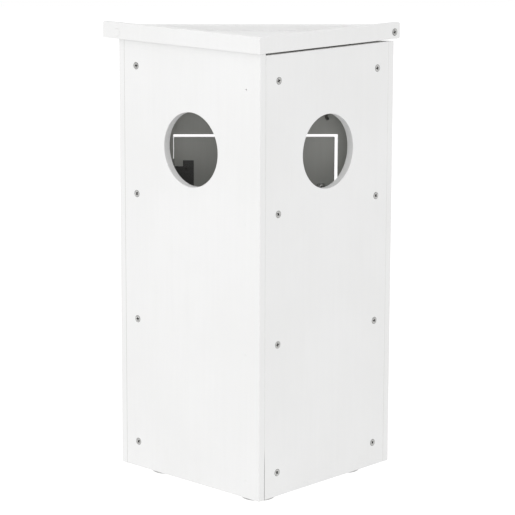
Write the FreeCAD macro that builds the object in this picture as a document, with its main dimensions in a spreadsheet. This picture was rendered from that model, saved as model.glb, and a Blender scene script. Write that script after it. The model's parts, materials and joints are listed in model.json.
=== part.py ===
"""Corner nest box: a tall triangular plywood box with an entrance hole in each front face, a rear
access door on wrap-round hinges with a turn button, and a lift-off lid shaped like a tray.

Frame: +Z up, the front corner towards -Y, origin at the middle of the outer box on the ground.
Each of the three outer faces has a frame of its own: X runs to the right as seen from outside,
Y runs into the box and Z up, with Y = 0 on the outer face and Z = 0 at the panels' lower edge.
"""
import FreeCAD
import Part
import os
import Sketcher
from FreeCAD import Placement, Rotation, Vector

DIMENSIONS = {
    # carcass
    "face_width": 225.0, "carcass_height": 507.0, "right_drop": 2.1, "panel_thickness": 9.0,
    "rear_thickness": 6.3, "floor_thickness": 9.0,
    "front_batten_width": 42.0, "front_batten_depth": 28.0, "rear_batten_leg": 34.0,
    # entrances
    "hole_radius": 42.7, "left_hole_drop": 117.0, "right_hole_drop": 119.0,
    # pads under the floor
    "pad_radius": 20.0, "pad_height": 3.0, "pad_inset": 23.0,
    # wood screws in rows up the corners, and the pins of the front corner
    "screw_first": 27.9, "screw_head_room": 31.6, "left_screw_lift": 2.8,
    "rear_screw_inset": 28.4, "front_screw_inset": 30.1, "rear_panel_screw_inset": 39.0,
    "screw_length": 19.0, "screw_head_radius": 4.15, "screw_shank_radius": 2.0,
    "screw_tip": 4.0, "slot_half_length": 2.3, "slot_half_width": 0.5, "slot_depth": 1.8,
    "pin_inset": 21.5, "pin_drop": 9.1, "pin_radius": 0.8, "pin_length": 24.0, "pin_sink": 1.0,
    # door in the rear panel: sides from the centre line, head down from the carcass's top
    "opening_hinge_side": 96.5, "opening_latch_side": 94.9, "opening_foot": 56.6,
    "opening_drop": 110.6, "hinge_gap": 0.5, "latch_gap": 3.6, "head_gap": 3.5, "foot_gap": 2.5,
    # wrap-round hinges
    "leaf_thickness": 1.2, "leaf_height": 50.0, "frame_leaf_width": 16.0, "door_leaf_width": 23.3,
    "web_height": 36.0, "web_shoulder": 9.6, "knuckle_radius": 2.8, "hinge_pin_radius": 1.3,
    "pin_clearance": 0.05, "moving_clearance": 0.3, "upper_hinge_drop": 80.5,
    "lower_hinge_foot": 89.0,
    "leaf_screw_length": 5.6, "leaf_screw_head_radius": 2.4, "leaf_screw_shank_radius": 1.25,
    "leaf_screw_spacing": 30.0, "leaf_slot_half_length": 1.4, "leaf_slot_half_width": 0.35,
    "leaf_slot_depth": 0.9,
    # turn button and knob
    "button_offset": 81.5, "button_rise": 20.0, "button_reach": 46.0, "button_tail": 14.0,
    "button_width": 18.0, "button_thickness": 6.3, "pivot_clearance": 0.08,
    "button_screw_length": 19.0, "round_head_radius": 4.2, "round_head_height": 2.6,
    "washer_radius": 5.5, "washer_thickness": 0.8,
    "knob_offset": 75.5, "knob_drop": 62.2, "knob_radius": 12.0, "knob_neck_radius": 6.5,
    "knob_length": 19.0, "knob_screw_length": 16.0,
    # lid
    "rim_height": 19.0, "rim_thickness": 9.0, "left_overhang": 3.0, "right_overhang": 1.5,
    "left_rim_past": 24.5, "right_rim_past": 9.5, "rear_clearance": 1.5,
    "rail_height": 16.3, "lid_thickness": 9.0, "rail_screw_level": 8.0,
    "cleat_width": 12.0, "cleat_height": 12.0, "cleat_clearance": 1.5, "cleat_end_gap": 2.0,
    "cleat_screw_length": 17.0, "rail_screw_length": 15.0,
}
SCREW_ROWS = 4
ROOT2 = "sqrt(2)"
# shares of a leaf's width to its screws, of a cleat's length to its screws, of a round head's
# radius and height to its crown and shoulder, and of its slot's length and depth
LEAF_SCREW_SHARE = 0.62
CLEAT_SCREW_SHARES = (0.2, 0.8)
CROWN_RADIUS, SHOULDER_HEIGHT = 0.55, 0.35
PIVOT_SLOT_LENGTH, PIVOT_SLOT_DEPTH = 1.3, 0.5
# the knob's outline beyond its neck, as shares of its radius and length
KNOB_WAIST = (0.8, 0.35)
KNOB_BELLY = ((0.9, 0.55), (1, 0.7), (0.9, 0.88), (0.5, 1))

doc = FreeCAD.newDocument("corner_nest_box")
sheet = doc.addObject("Spreadsheet::Sheet", "Dims")
for row, (alias, number) in enumerate(DIMENSIONS.items(), start=1):
    sheet.set(f"A{row}", alias)
    sheet.set(f"B{row}", str(number))
    sheet.setAlias(f"B{row}", alias)
doc.recompute()


def bound(text):
    """The expression with every dimension's name written as a cell of the sheet."""
    words, word = [], ""
    for letter in text + " ":
        if letter.isalnum() or letter == "_":
            word += letter
            continue
        words.append(f"Dims.{word}" if word in DIMENSIONS else word)
        words.append(letter)
        word = ""
    return "".join(words).strip()


def value(text):
    """The number that an expression in the dimensions' names gives."""
    found = sheet.evalExpression(bound(text))
    return float(getattr(found, "Value", found))


# --- places worked out from the dimensions ---
HALF_REAR = f"face_width / {ROOT2}"
BEVEL = f"rear_thickness * {ROOT2}"
SIDE_LENGTH = f"face_width - {BEVEL}"
BATTEN_STEP = f"rear_batten_leg / {ROOT2}"
LEFT_REACH = "(face_width + left_rim_past)"
RIGHT_REACH = "(face_width + right_rim_past)"
CORNER_X = (f"({LEFT_REACH} + left_overhang - {RIGHT_REACH} - right_overhang)"
            f" / (2 * {ROOT2})")
CORNER_Y = (f"-({LEFT_REACH} + rim_thickness - 2 * left_overhang - right_overhang)"
            f" / (2 * {ROOT2})")
LEFT, RIGHT, REAR = (
    (f"{CORNER_X} - {HALF_REAR}", f"{CORNER_Y} + {HALF_REAR}", -45),
    (CORNER_X, CORNER_Y, 45),
    (f"{CORNER_X} + {HALF_REAR}", f"{CORNER_Y} + {HALF_REAR}", 180),
)
LID_FOOT = "carcass_height"
DOOR_HINGE_EDGE = f"{HALF_REAR} + opening_hinge_side - hinge_gap"
DOOR_LATCH_EDGE = f"{HALF_REAR} - opening_latch_side + latch_gap"
DOOR_FOOT = "opening_foot + foot_gap"
OPENING_HEAD = "(carcass_height - opening_drop)"
DOOR_HEAD = f"{OPENING_HEAD} - head_gap"
HINGE_AXIS = f"{HALF_REAR} + opening_hinge_side - hinge_gap / 2"
HINGE_OUT = "knuckle_radius + moving_clearance"
WEB_OUTER = f"{HALF_REAR} + opening_hinge_side - moving_clearance"
WEB_INNER = f"{WEB_OUTER} - leaf_thickness"


# --- building blocks ---
def body_in(face, label, foot="0"):
    """A PartDesign body that stands in a face's frame, with its Z = 0 at the given level."""
    body = doc.addObject("PartDesign::Body", label)
    body.Label = label
    body.Placement = Placement(Vector(), Rotation(Vector(0, 0, 1), face[2]))
    body.setExpression("Placement.Base.x", bound(face[0]))
    body.setExpression("Placement.Base.y", bound(face[1]))
    body.setExpression("Placement.Base.z", bound(f"pad_height + {foot}"))
    return body


def hold_point(sketch, geometry, corner, x, y):
    """Ties one point of a sketch to the two expressions for its place."""
    for text, kind, axis in ((x, "DistanceX", -2), (y, "DistanceY", -1)):
        if text == "0":
            sketch.addConstraint(Sketcher.Constraint("PointOnObject", geometry, corner, axis))
            continue
        index = sketch.addConstraint(
            Sketcher.Constraint(kind, -1, 1, geometry, corner, value(text)))
        sketch.setExpression(f"Constraints[{index}]", bound(text))


def sketch_on(body, role, polygons=(), circles=(), offset=None):
    """A sketch on one of the body's own origin planes, from corners and circles as expressions."""
    sketch = body.newObject("Sketcher::SketchObject", f"{body.Name}_sketch")
    plane = next(f for f in body.Origin.OriginFeatures if f.Role == role)
    sketch.AttachmentSupport = (plane, [""])
    sketch.MapMode = "FlatFace"
    if offset:
        sketch.setExpression("AttachmentOffset.Base.z", bound(offset))
    for corners in polygons:
        points = [Vector(value(x), value(y), 0) for x, y in corners]
        first = sketch.GeometryCount
        for start, end in zip(points, points[1:] + points[:1]):
            sketch.addGeometry(Part.LineSegment(start, end), False)
        for index, (x, y) in enumerate(corners):
            following = first + (index + 1) % len(corners)
            sketch.addConstraint(
                Sketcher.Constraint("Coincident", first + index, 2, following, 1))
            hold_point(sketch, first + index, 1, x, y)
    for x, y, radius in circles:
        centre = Vector(value(x), value(y), 0)
        round_edge = sketch.addGeometry(
            Part.Circle(centre, Vector(0, 0, 1), value(radius)), False)
        hold_point(sketch, round_edge, 3, x, y)
        index = sketch.addConstraint(Sketcher.Constraint("Radius", round_edge, value(radius)))
        sketch.setExpression(f"Constraints[{index}]", bound(radius))
    return sketch


def feature(body, kind, sketch, length, reverse=False):
    """A pad or pocket of the sketch, with its length bound to an expression."""
    made = body.newObject(f"PartDesign::{kind}", f"{body.Name}_{kind.lower()}")
    made.Profile = sketch
    made.setExpression("Length", bound(length))
    made.Reversed = reverse
    return made


def rectangle(x0, y0, x1, y1):
    """The four corners of a rectangle."""
    return [(x0, y0), (x1, y0), (x1, y1), (x0, y1)]


def upright(face, label, corners, foot, height):
    """A piece with one outline seen from above, padded up from its foot."""
    body = body_in(face, label, foot)
    feature(body, "Pad", sketch_on(body, "XY_Plane", [corners]), height)
    return body


def facing(face, label, polygons, circles, depth, inward, start="0"):
    """A piece with one outline seen from outside its face, padded inward or outward."""
    body = body_in(face, label)
    sketch = sketch_on(body, "XZ_Plane", polygons, circles, offset=start)
    feature(body, "Pad", sketch, depth, reverse=inward)
    return body


def turned(face, label, outline, x="0", level="0"):
    """A piece turned about a line along Y: its outline is given as radius and depth."""
    body = body_in(face, label, level)
    corners = [(f"{x} + {radius}" if radius != "0" else x, depth) for radius, depth in outline]
    sketch = sketch_on(body, "XY_Plane", [corners])
    centre = sketch.addGeometry(
        Part.LineSegment(Vector(value(x), -1, 0), Vector(value(x), 1, 0)), True)
    for corner, reach in ((1, "-1"), (2, "1")):
        hold_point(sketch, centre, corner, x, reach)
    spin = body.newObject("PartDesign::Revolution", f"{label}_spin")
    spin.Profile = sketch
    spin.ReferenceAxis = (sketch, ["Axis0"])
    spin.Angle = 360
    return body


def at(face, x, level, depth="0", turn=None):
    """The place of a point in a face's frame: across the face, up, and into the box."""
    origin = Vector(value(face[0]), value(face[1]), value("pad_height"))
    frame = Placement(origin, Rotation(Vector(0, 0, 1), face[2]))
    local = Placement(Vector(value(x), value(depth), value(level)), turn or Rotation())
    return frame.multiply(local)


def copies(label, master, places):
    """A group of separate solids: the master's shape at each place."""
    group = doc.addObject("Part::Feature", label)
    group.Label = label
    shapes = []
    for place in places:
        copy = master.Shape.copy()
        copy.Placement = place
        shapes.append(copy)
    group.Shape = Part.makeCompound(shapes) if len(shapes) > 1 else shapes[0]
    return group


def bored(label, blank, tools):
    """The blank with the room for its fasteners cut out of it."""
    piece = doc.addObject("Part::Cut", label)
    piece.Label = label
    piece.Base = blank
    piece.Tool = tools
    return piece


def screw_pair(name, length, head, shank, tip, slot):
    """A countersunk screw along +Y with its cross recess, and the plain solid that it fills.

    The slot is the recess's half length, half width and depth."""
    cone = f"{head} - {shank}"
    outline = [("0", "0"), (head, "0"), (shank, cone), (shank, f"{length} - {tip}"),
               ("0", length)]
    plain = turned(("0", "0", 0), f"{name}_room", outline, level="-pad_height")
    made = turned(("0", "0", 0), name, outline, level="-pad_height")
    long_arm, short_arm, depth = slot
    cross = [(long_arm, short_arm), (short_arm, short_arm), (short_arm, long_arm),
             (f"-{short_arm}", long_arm), (f"-{short_arm}", short_arm),
             (f"-{long_arm}", short_arm), (f"-{long_arm}", f"-{short_arm}"),
             (f"-{short_arm}", f"-{short_arm}"), (f"-{short_arm}", f"-{long_arm}"),
             (short_arm, f"-{long_arm}"), (short_arm, f"-{short_arm}"),
             (long_arm, f"-{short_arm}")]
    feature(made, "Pocket", sketch_on(made, "XZ_Plane", [cross]), depth)
    return made, plain


# --- masters for the fasteners, copied to each place that holds one ---
def wood_screw(name, length):
    """A wood screw of the carcass's size and the given length, with its room."""
    return screw_pair(name, length, "screw_head_radius", "screw_shank_radius", "screw_tip",
                      ("slot_half_length", "slot_half_width", "slot_depth"))


long_screw, long_room = wood_screw("wood_screw", "screw_length")
cleat_screw, cleat_room = wood_screw("cleat_screw", "cleat_screw_length")
rail_screw, rail_room = wood_screw("rail_screw", "rail_screw_length")
leaf_screw, leaf_room = screw_pair(
    "leaf_screw", "leaf_screw_length", "leaf_screw_head_radius", "leaf_screw_shank_radius",
    "leaf_screw_shank_radius", ("leaf_slot_half_length", "leaf_slot_half_width",
                                "leaf_slot_depth"))
panel_pin = turned(("0", "0", 0), "panel_pin", [
    ("0", "pin_sink"), ("pin_radius", "pin_sink"), ("pin_radius", "pin_length - 2 * pin_radius"),
    ("0", "pin_length")], level="-pad_height")
pin_room = turned(("0", "0", 0), "panel_pin_room", [
    ("0", "0"), ("pin_radius", "0"), ("pin_radius", "pin_length - 2 * pin_radius"),
    ("0", "pin_length")], level="-pad_height")
doc.recompute()

SCREW_PITCH = f"(carcass_height - screw_first - screw_head_room) / {SCREW_ROWS - 1}"
ROWS = [f"screw_first + {row} * {SCREW_PITCH}" for row in range(SCREW_ROWS)]
BETWEEN_ROWS = [f"screw_first + {row + 0.5} * {SCREW_PITCH}" for row in range(SCREW_ROWS - 1)]
UPWARD = Rotation(Vector(1, 0, 0), 90)
OUTWARD = Rotation(Vector(0, 0, 1), 180)
FRONT_BATTEN_MIDDLE = ("panel_thickness + front_batten_width / 2",
                       "panel_thickness + front_batten_depth / 2")
REAR_BATTEN_MIDDLE = f"panel_thickness + {BATTEN_STEP} / 2"

left_places = [at(LEFT, "rear_screw_inset", f"{row} + left_screw_lift") for row in ROWS]
right_rear_places = [at(RIGHT, "face_width - rear_screw_inset", row) for row in ROWS]
right_front_places = [at(RIGHT, "front_screw_inset", row) for row in ROWS]
rear_places = [at(REAR, x, row) for row in BETWEEN_ROWS
               for x in ("rear_panel_screw_inset", f"2 * {HALF_REAR} - rear_panel_screw_inset")]
floor_places = [
    at(RIGHT, FRONT_BATTEN_MIDDLE[0], "0", FRONT_BATTEN_MIDDLE[1], UPWARD),
    at(RIGHT, f"{SIDE_LENGTH} - panel_thickness - {BATTEN_STEP}", "0",
       REAR_BATTEN_MIDDLE, UPWARD),
    at(LEFT, f"{BEVEL} + panel_thickness + {BATTEN_STEP}", "0", REAR_BATTEN_MIDDLE, UPWARD),
]
pin_places = [at(LEFT, "face_width - pin_inset", f"{row} - pin_drop") for row in ROWS]
carcass_screws = {
    "left_panel_screws": left_places,
    "right_panel_rear_screws": right_rear_places,
    "right_panel_front_screws": right_front_places,
    "rear_panel_screws": rear_places,
    "floor_screws": floor_places,
}
nodes = [copies(label, long_screw, places) for label, places in carcass_screws.items()]
nodes.append(copies("left_panel_pins", panel_pin, pin_places))

# --- wrap-round hinges ---
FRAME_LEAF_MIDDLE = f"{HINGE_AXIS} + frame_leaf_width * {LEAF_SCREW_SHARE}"
DOOR_LEAF_MIDDLE = f"{WEB_OUTER} - door_leaf_width * {LEAF_SCREW_SHARE}"
leaf_feet = {"upper": f"({OPENING_HEAD} - upper_hinge_drop)", "lower": "lower_hinge_foot"}


def leaf_levels(foot):
    """The two levels of a leaf's screws, about the leaf's middle."""
    return [f"{foot} + leaf_height / 2 {sign} leaf_screw_spacing / 2" for sign in "-+"]


frame_leaf_places = [at(REAR, FRAME_LEAF_MIDDLE, level, "-leaf_thickness")
                     for foot in leaf_feet.values() for level in leaf_levels(foot)]
door_leaf_places = [at(REAR, DOOR_LEAF_MIDDLE, level, "rear_thickness + leaf_thickness", OUTWARD)
                    for foot in leaf_feet.values() for level in leaf_levels(foot)]
nodes.append(copies("hinge_frame_screws", leaf_screw, frame_leaf_places))
nodes.append(copies("hinge_door_screws", leaf_screw, door_leaf_places))
leaf_screw_rooms = copies("leaf_screw_rooms", leaf_room, frame_leaf_places + door_leaf_places)
SEGMENT = "leaf_height / 3"


def knuckle(body, foot, height):
    """One stretch of a hinge's barrel, bored for the pin."""
    round_edges = [(HINGE_AXIS, f"-({HINGE_OUT})", "knuckle_radius")]
    feature(body, "Pad", sketch_on(body, "XY_Plane", (), round_edges, offset=foot), height)


def pin_bore(body):
    """The bore for the hinge pin, through every knuckle of a leaf."""
    round_edges = [(HINGE_AXIS, f"-({HINGE_OUT})", "hinge_pin_radius + pin_clearance")]
    sketch = sketch_on(body, "XY_Plane", (), round_edges, offset="leaf_height")
    feature(body, "Pocket", sketch, "leaf_height")


for name, foot in leaf_feet.items():
    frame_leaf = body_in(REAR, f"{name}_frame_leaf_blank", foot)
    plate = rectangle(HINGE_AXIS, "-leaf_thickness", f"{HINGE_AXIS} + frame_leaf_width", "0")
    feature(frame_leaf, "Pad", sketch_on(frame_leaf, "XY_Plane", [plate]), "leaf_height")
    relief = rectangle(f"{HINGE_AXIS} - knuckle_radius", f"-2 * ({HINGE_OUT})",
                       f"{HINGE_AXIS} + knuckle_radius + moving_clearance", "0")
    for start in ("0", f"2 * {SEGMENT} - moving_clearance"):
        sketch = sketch_on(frame_leaf, "XY_Plane", [relief], offset=start)
        feature(frame_leaf, "Pocket", sketch, f"{SEGMENT} + moving_clearance", reverse=True)
    knuckle(frame_leaf, f"{SEGMENT} + moving_clearance", f"{SEGMENT} - 2 * moving_clearance")
    pin_bore(frame_leaf)
    nodes.append(bored(f"{name}_hinge_frame_leaf", frame_leaf, leaf_screw_rooms))

    door_leaf = body_in(REAR, f"{name}_door_leaf_blank", foot)
    wrap = [(WEB_OUTER, f"-({HINGE_OUT})"), (WEB_OUTER, "rear_thickness + leaf_thickness"),
            (f"{WEB_OUTER} - door_leaf_width", "rear_thickness + leaf_thickness"),
            (f"{WEB_OUTER} - door_leaf_width", "rear_thickness"),
            (WEB_INNER, "rear_thickness"), (WEB_INNER, f"-({HINGE_OUT})")]
    feature(door_leaf, "Pad", sketch_on(door_leaf, "XY_Plane", [wrap]), "leaf_height")
    for start in ("0", f"2 * {SEGMENT}"):
        knuckle(door_leaf, start, SEGMENT)
    middle = rectangle(f"{WEB_INNER} - knuckle_radius", f"-2 * ({HINGE_OUT})",
                       f"{WEB_OUTER} + 2 * knuckle_radius", "0")
    sketch = sketch_on(door_leaf, "XY_Plane", [middle], offset=SEGMENT)
    feature(door_leaf, "Pocket", sketch, SEGMENT, reverse=True)
    for start in ("0", "leaf_height / 2 + web_height / 2"):
        strip = rectangle(f"{WEB_INNER} - web_shoulder", "-moving_clearance",
                          f"{WEB_OUTER} + leaf_thickness", "rear_thickness + 2 * leaf_thickness")
        sketch = sketch_on(door_leaf, "XY_Plane", [strip], offset=start)
        feature(door_leaf, "Pocket", sketch, "leaf_height / 2 - web_height / 2", reverse=True)
    pin_bore(door_leaf)
    nodes.append(bored(f"{name}_hinge_door_leaf", door_leaf, leaf_screw_rooms))

    hinge_pin = body_in(REAR, f"{name}_hinge_pin", foot)
    rod = [(HINGE_AXIS, f"-({HINGE_OUT})", "hinge_pin_radius")]
    feature(hinge_pin, "Pad", sketch_on(hinge_pin, "XY_Plane", (), rod), "leaf_height")
    nodes.append(hinge_pin)

# --- turn button, knob and what holds them ---
BUTTON_X = f"{HALF_REAR} - button_offset"
KNOB_X = f"{HALF_REAR} - knob_offset"
BUTTON_Z = f"({OPENING_HEAD} + button_rise)"
KNOB_Z = f"({OPENING_HEAD} - knob_drop)"
BUTTON_FACE = "moving_clearance + button_thickness"
CROWN = f"round_head_radius * {CROWN_RADIUS}"
SHOULDER = f"round_head_height * {SHOULDER_HEIGHT}"
BUTTON_SEAT = f"{BUTTON_FACE} + washer_thickness"
pivot = turned(REAR, "turn_button_screw", [
    ("0", f"-({BUTTON_SEAT} + round_head_height)"),
    (CROWN, f"-({BUTTON_SEAT} + round_head_height)"),
    ("round_head_radius", f"-({BUTTON_SEAT} + {SHOULDER})"),
    ("round_head_radius", f"-({BUTTON_SEAT})"),
    ("screw_shank_radius", f"-({BUTTON_SEAT})"),
    ("screw_shank_radius", f"button_screw_length - {BUTTON_FACE} - screw_tip"),
    ("0", f"button_screw_length - {BUTTON_FACE}")], BUTTON_X, BUTTON_Z)
SLOT_REACH = f"slot_half_length * {PIVOT_SLOT_LENGTH}"
slot = rectangle(f"{BUTTON_X} - {SLOT_REACH}", "-slot_half_width",
                 f"{BUTTON_X} + {SLOT_REACH}", "slot_half_width")
feature(pivot, "Pocket",
        sketch_on(pivot, "XZ_Plane", [slot], offset=f"{BUTTON_SEAT} + round_head_height"),
        f"round_head_height * {PIVOT_SLOT_DEPTH}")
washer = facing(REAR, "turn_button_washer", (), [
    (BUTTON_X, BUTTON_Z, "washer_radius"),
    (BUTTON_X, BUTTON_Z, "screw_shank_radius + pin_clearance")],
    "washer_thickness", False, BUTTON_FACE)
nodes += [pivot, washer]

NARROW = "button_width / 2"
HALF_SIDE = f"{NARROW} * (sqrt(2) - 1)"
button = facing(REAR, "turn_button", [[
    (f"{BUTTON_X} - button_tail", f"{BUTTON_Z} - {HALF_SIDE}"),
    (f"{BUTTON_X} - button_tail + {NARROW} - {HALF_SIDE}", f"{BUTTON_Z} - {NARROW}"),
    (f"{BUTTON_X} + button_reach - {NARROW} + {HALF_SIDE}", f"{BUTTON_Z} - {NARROW}"),
    (f"{BUTTON_X} + button_reach", f"{BUTTON_Z} - {HALF_SIDE}"),
    (f"{BUTTON_X} + button_reach", f"{BUTTON_Z} + {HALF_SIDE}"),
    (f"{BUTTON_X} + button_reach - {NARROW} + {HALF_SIDE}", f"{BUTTON_Z} + {NARROW}"),
    (f"{BUTTON_X} - button_tail + {NARROW} - {HALF_SIDE}", f"{BUTTON_Z} + {NARROW}"),
    (f"{BUTTON_X} - button_tail", f"{BUTTON_Z} + {HALF_SIDE}")]],
    [(BUTTON_X, BUTTON_Z, "screw_shank_radius + pivot_clearance")],
    "button_thickness", False, "moving_clearance")
nodes.append(button)

waist_radius, waist_depth = KNOB_WAIST
belly = [(f"knob_radius * {radius}", f"-knob_length * {depth}") for radius, depth in KNOB_BELLY]
knob_blank = turned(REAR, "door_knob_blank", [
    ("0", "0"), ("knob_neck_radius", "0"),
    (f"knob_neck_radius * {waist_radius}", f"-knob_length * {waist_depth}"), *belly,
    ("0", "-knob_length")], KNOB_X, KNOB_Z)
KNOB_SEAT = "rear_thickness + washer_thickness"
knob_screw = turned(REAR, "door_knob_screw", [
    ("0", f"{KNOB_SEAT} + round_head_height"),
    (CROWN, f"{KNOB_SEAT} + round_head_height"),
    ("round_head_radius", f"{KNOB_SEAT} + {SHOULDER}"),
    ("round_head_radius", KNOB_SEAT),
    ("screw_shank_radius", KNOB_SEAT),
    ("screw_shank_radius", "rear_thickness - knob_screw_length + screw_tip"),
    ("0", "rear_thickness - knob_screw_length")], KNOB_X, KNOB_Z)
knob_washer = facing(REAR, "door_knob_washer", (), [
    (KNOB_X, KNOB_Z, "washer_radius"),
    (KNOB_X, KNOB_Z, "screw_shank_radius + pin_clearance")],
    "washer_thickness", True, "-rear_thickness")
nodes += [knob_screw, knob_washer, bored("door_knob", knob_blank, knob_screw)]

# --- carcass boards ---
doc.recompute()
carcass_rooms = copies("carcass_screw_rooms", long_room,
                       [place for places in carcass_screws.values() for place in places])
pin_rooms = copies("pin_rooms", pin_room, pin_places)
carcass_tools = doc.addObject("Part::MultiFuse", "carcass_tools")
carcass_tools.Shapes = [carcass_rooms, pin_rooms]

left_panel = upright(LEFT, "left_panel_blank", [
    (BEVEL, "0"), ("face_width", "0"), ("face_width", "panel_thickness"),
    (f"{BEVEL} + panel_thickness", "panel_thickness")], "0", "carcass_height")
right_panel = upright(RIGHT, "right_panel_blank", [
    ("panel_thickness", "0"), (SIDE_LENGTH, "0"),
    (f"{SIDE_LENGTH} - panel_thickness", "panel_thickness"),
    ("panel_thickness", "panel_thickness")], "0", "carcass_height - right_drop")
entrances = (
    (left_panel, f"{BEVEL} + ({SIDE_LENGTH}) / 2", "carcass_height - left_hole_drop"),
    (right_panel, f"({SIDE_LENGTH} + panel_thickness) / 2", "carcass_height - right_hole_drop"))
for panel, across, level in entrances:
    entrance = sketch_on(panel, "XZ_Plane", (), [(across, level, "hole_radius")])
    feature(panel, "Pocket", entrance, "panel_thickness")

rear_panel = upright(REAR, "rear_panel_blank", [
    ("0", "0"), ("rear_thickness", "rear_thickness"),
    (f"2 * {HALF_REAR} - rear_thickness", "rear_thickness"), (f"2 * {HALF_REAR}", "0")],
    "0", "carcass_height")
opening = rectangle(f"{HALF_REAR} - opening_latch_side", "opening_foot",
                    f"{HALF_REAR} + opening_hinge_side", OPENING_HEAD)
slope = [("0", "carcass_height - right_drop"), (f"2 * {HALF_REAR}", "carcass_height"),
         (f"2 * {HALF_REAR}", "carcass_height + right_drop"),
         ("0", "carcass_height + right_drop")]
for outline in (opening, slope):
    feature(rear_panel, "Pocket", sketch_on(rear_panel, "XZ_Plane", [outline]), "rear_thickness")
rear_tools = doc.addObject("Part::MultiFuse", "rear_tools")
rear_tools.Shapes = [carcass_tools, leaf_screw_rooms, pivot]

floor_board = upright(REAR, "floor_board_blank", [
    (f"panel_thickness * {ROOT2} + rear_thickness", "rear_thickness"),
    (f"2 * {HALF_REAR} - panel_thickness * {ROOT2} - rear_thickness", "rear_thickness"),
    (HALF_REAR, f"{HALF_REAR} - panel_thickness * {ROOT2}")], "0", "floor_thickness")
BATTEN_HEIGHT = "carcass_height - floor_thickness"
front_batten = upright(RIGHT, "front_batten_blank", rectangle(
    "panel_thickness", "panel_thickness", "panel_thickness + front_batten_width",
    "panel_thickness + front_batten_depth"), "floor_thickness", BATTEN_HEIGHT)
right_batten = upright(RIGHT, "right_batten_blank", [
    (f"{SIDE_LENGTH} - panel_thickness", "panel_thickness"),
    (f"{SIDE_LENGTH} - panel_thickness - {BATTEN_STEP}", f"panel_thickness + {BATTEN_STEP}"),
    (f"{SIDE_LENGTH} - panel_thickness - 2 * {BATTEN_STEP}", "panel_thickness")],
    "floor_thickness", BATTEN_HEIGHT)
left_batten = upright(LEFT, "left_batten_blank", [
    (f"{BEVEL} + panel_thickness", "panel_thickness"),
    (f"{BEVEL} + panel_thickness + 2 * {BATTEN_STEP}", "panel_thickness"),
    (f"{BEVEL} + panel_thickness + {BATTEN_STEP}", f"panel_thickness + {BATTEN_STEP}")],
    "floor_thickness", BATTEN_HEIGHT)
for label, blank, tools in (
        ("left_panel", left_panel, carcass_tools), ("right_panel", right_panel, carcass_tools),
        ("rear_panel", rear_panel, rear_tools), ("floor_board", floor_board, carcass_tools),
        ("front_corner_batten", front_batten, carcass_tools),
        ("right_rear_batten", right_batten, carcass_tools),
        ("left_rear_batten", left_batten, rear_tools)):
    nodes.append(bored(label, blank, tools))

pad_places = ((RIGHT, "pad_inset", "pad_inset"),
              (RIGHT, f"face_width - pad_inset * (1 + {ROOT2})", "pad_inset"),
              (LEFT, f"pad_inset * (1 + {ROOT2})", "pad_inset"))
for name, (face, across, deep) in zip(("front", "right_rear", "left_rear"), pad_places):
    pad = body_in(face, f"{name}_base_pad", "-pad_height")
    disc = sketch_on(pad, "XY_Plane", (), [(across, deep, "pad_radius")])
    feature(pad, "Pad", disc, "pad_height")
    nodes.append(pad)

# --- door ---
door_blank = facing(REAR, "door_panel_blank", [
    rectangle(DOOR_LATCH_EDGE, DOOR_FOOT, DOOR_HINGE_EDGE, DOOR_HEAD)], (), "rear_thickness", True)
for foot in leaf_feet.values():
    notch = rectangle(WEB_INNER, f"{foot} + leaf_height / 2 - web_height / 2",
                      f"{DOOR_HINGE_EDGE} + leaf_thickness",
                      f"{foot} + leaf_height / 2 + web_height / 2")
    feature(door_blank, "Pocket", sketch_on(door_blank, "XZ_Plane", [notch]), "rear_thickness")
door_tools = doc.addObject("Part::MultiFuse", "door_tools")
door_tools.Shapes = [leaf_screw_rooms, knob_screw]
nodes.append(bored("door_panel", door_blank, door_tools))

# --- lid ---
LEFT_INNER = f"(rim_thickness - left_overhang) * {ROOT2}"
RIGHT_INNER = f"(rim_thickness - right_overhang) * {ROOT2}"
rail_level = f"{LID_FOOT} + rail_screw_level"
rail_places = [
    at(LEFT, "0", rail_level, "-left_overhang"),
    at(RIGHT, "face_width", rail_level, "-right_overhang")]
CLEAT_LEFT = (f"{BEVEL} + panel_thickness + 2 * {BATTEN_STEP} + cleat_end_gap",
              "face_width - panel_thickness - front_batten_depth - cleat_end_gap")
CLEAT_RIGHT = ("panel_thickness + front_batten_width + cleat_end_gap",
               f"{SIDE_LENGTH} - panel_thickness - 2 * {BATTEN_STEP} - cleat_end_gap")
CLEAT_NEAR = "panel_thickness + cleat_clearance"
CLEAT_FOOT = f"{LID_FOOT} - cleat_height"
cleat_places = [
    at(face, f"({start}) * {1 - share} + ({end}) * {share}", CLEAT_FOOT,
       f"{CLEAT_NEAR} + cleat_width / 2", UPWARD)
    for face, (start, end) in ((LEFT, CLEAT_LEFT), (RIGHT, CLEAT_RIGHT))
    for share in CLEAT_SCREW_SHARES]
nodes.append(copies("lid_rail_screws", rail_screw, rail_places))
nodes.append(copies("lid_cleat_screws", cleat_screw, cleat_places))
lid_rooms = doc.addObject("Part::MultiFuse", "lid_rooms")
lid_rooms.Shapes = [copies("rail_screw_rooms", rail_room, rail_places),
                    copies("cleat_screw_rooms", cleat_room, cleat_places)]

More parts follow.
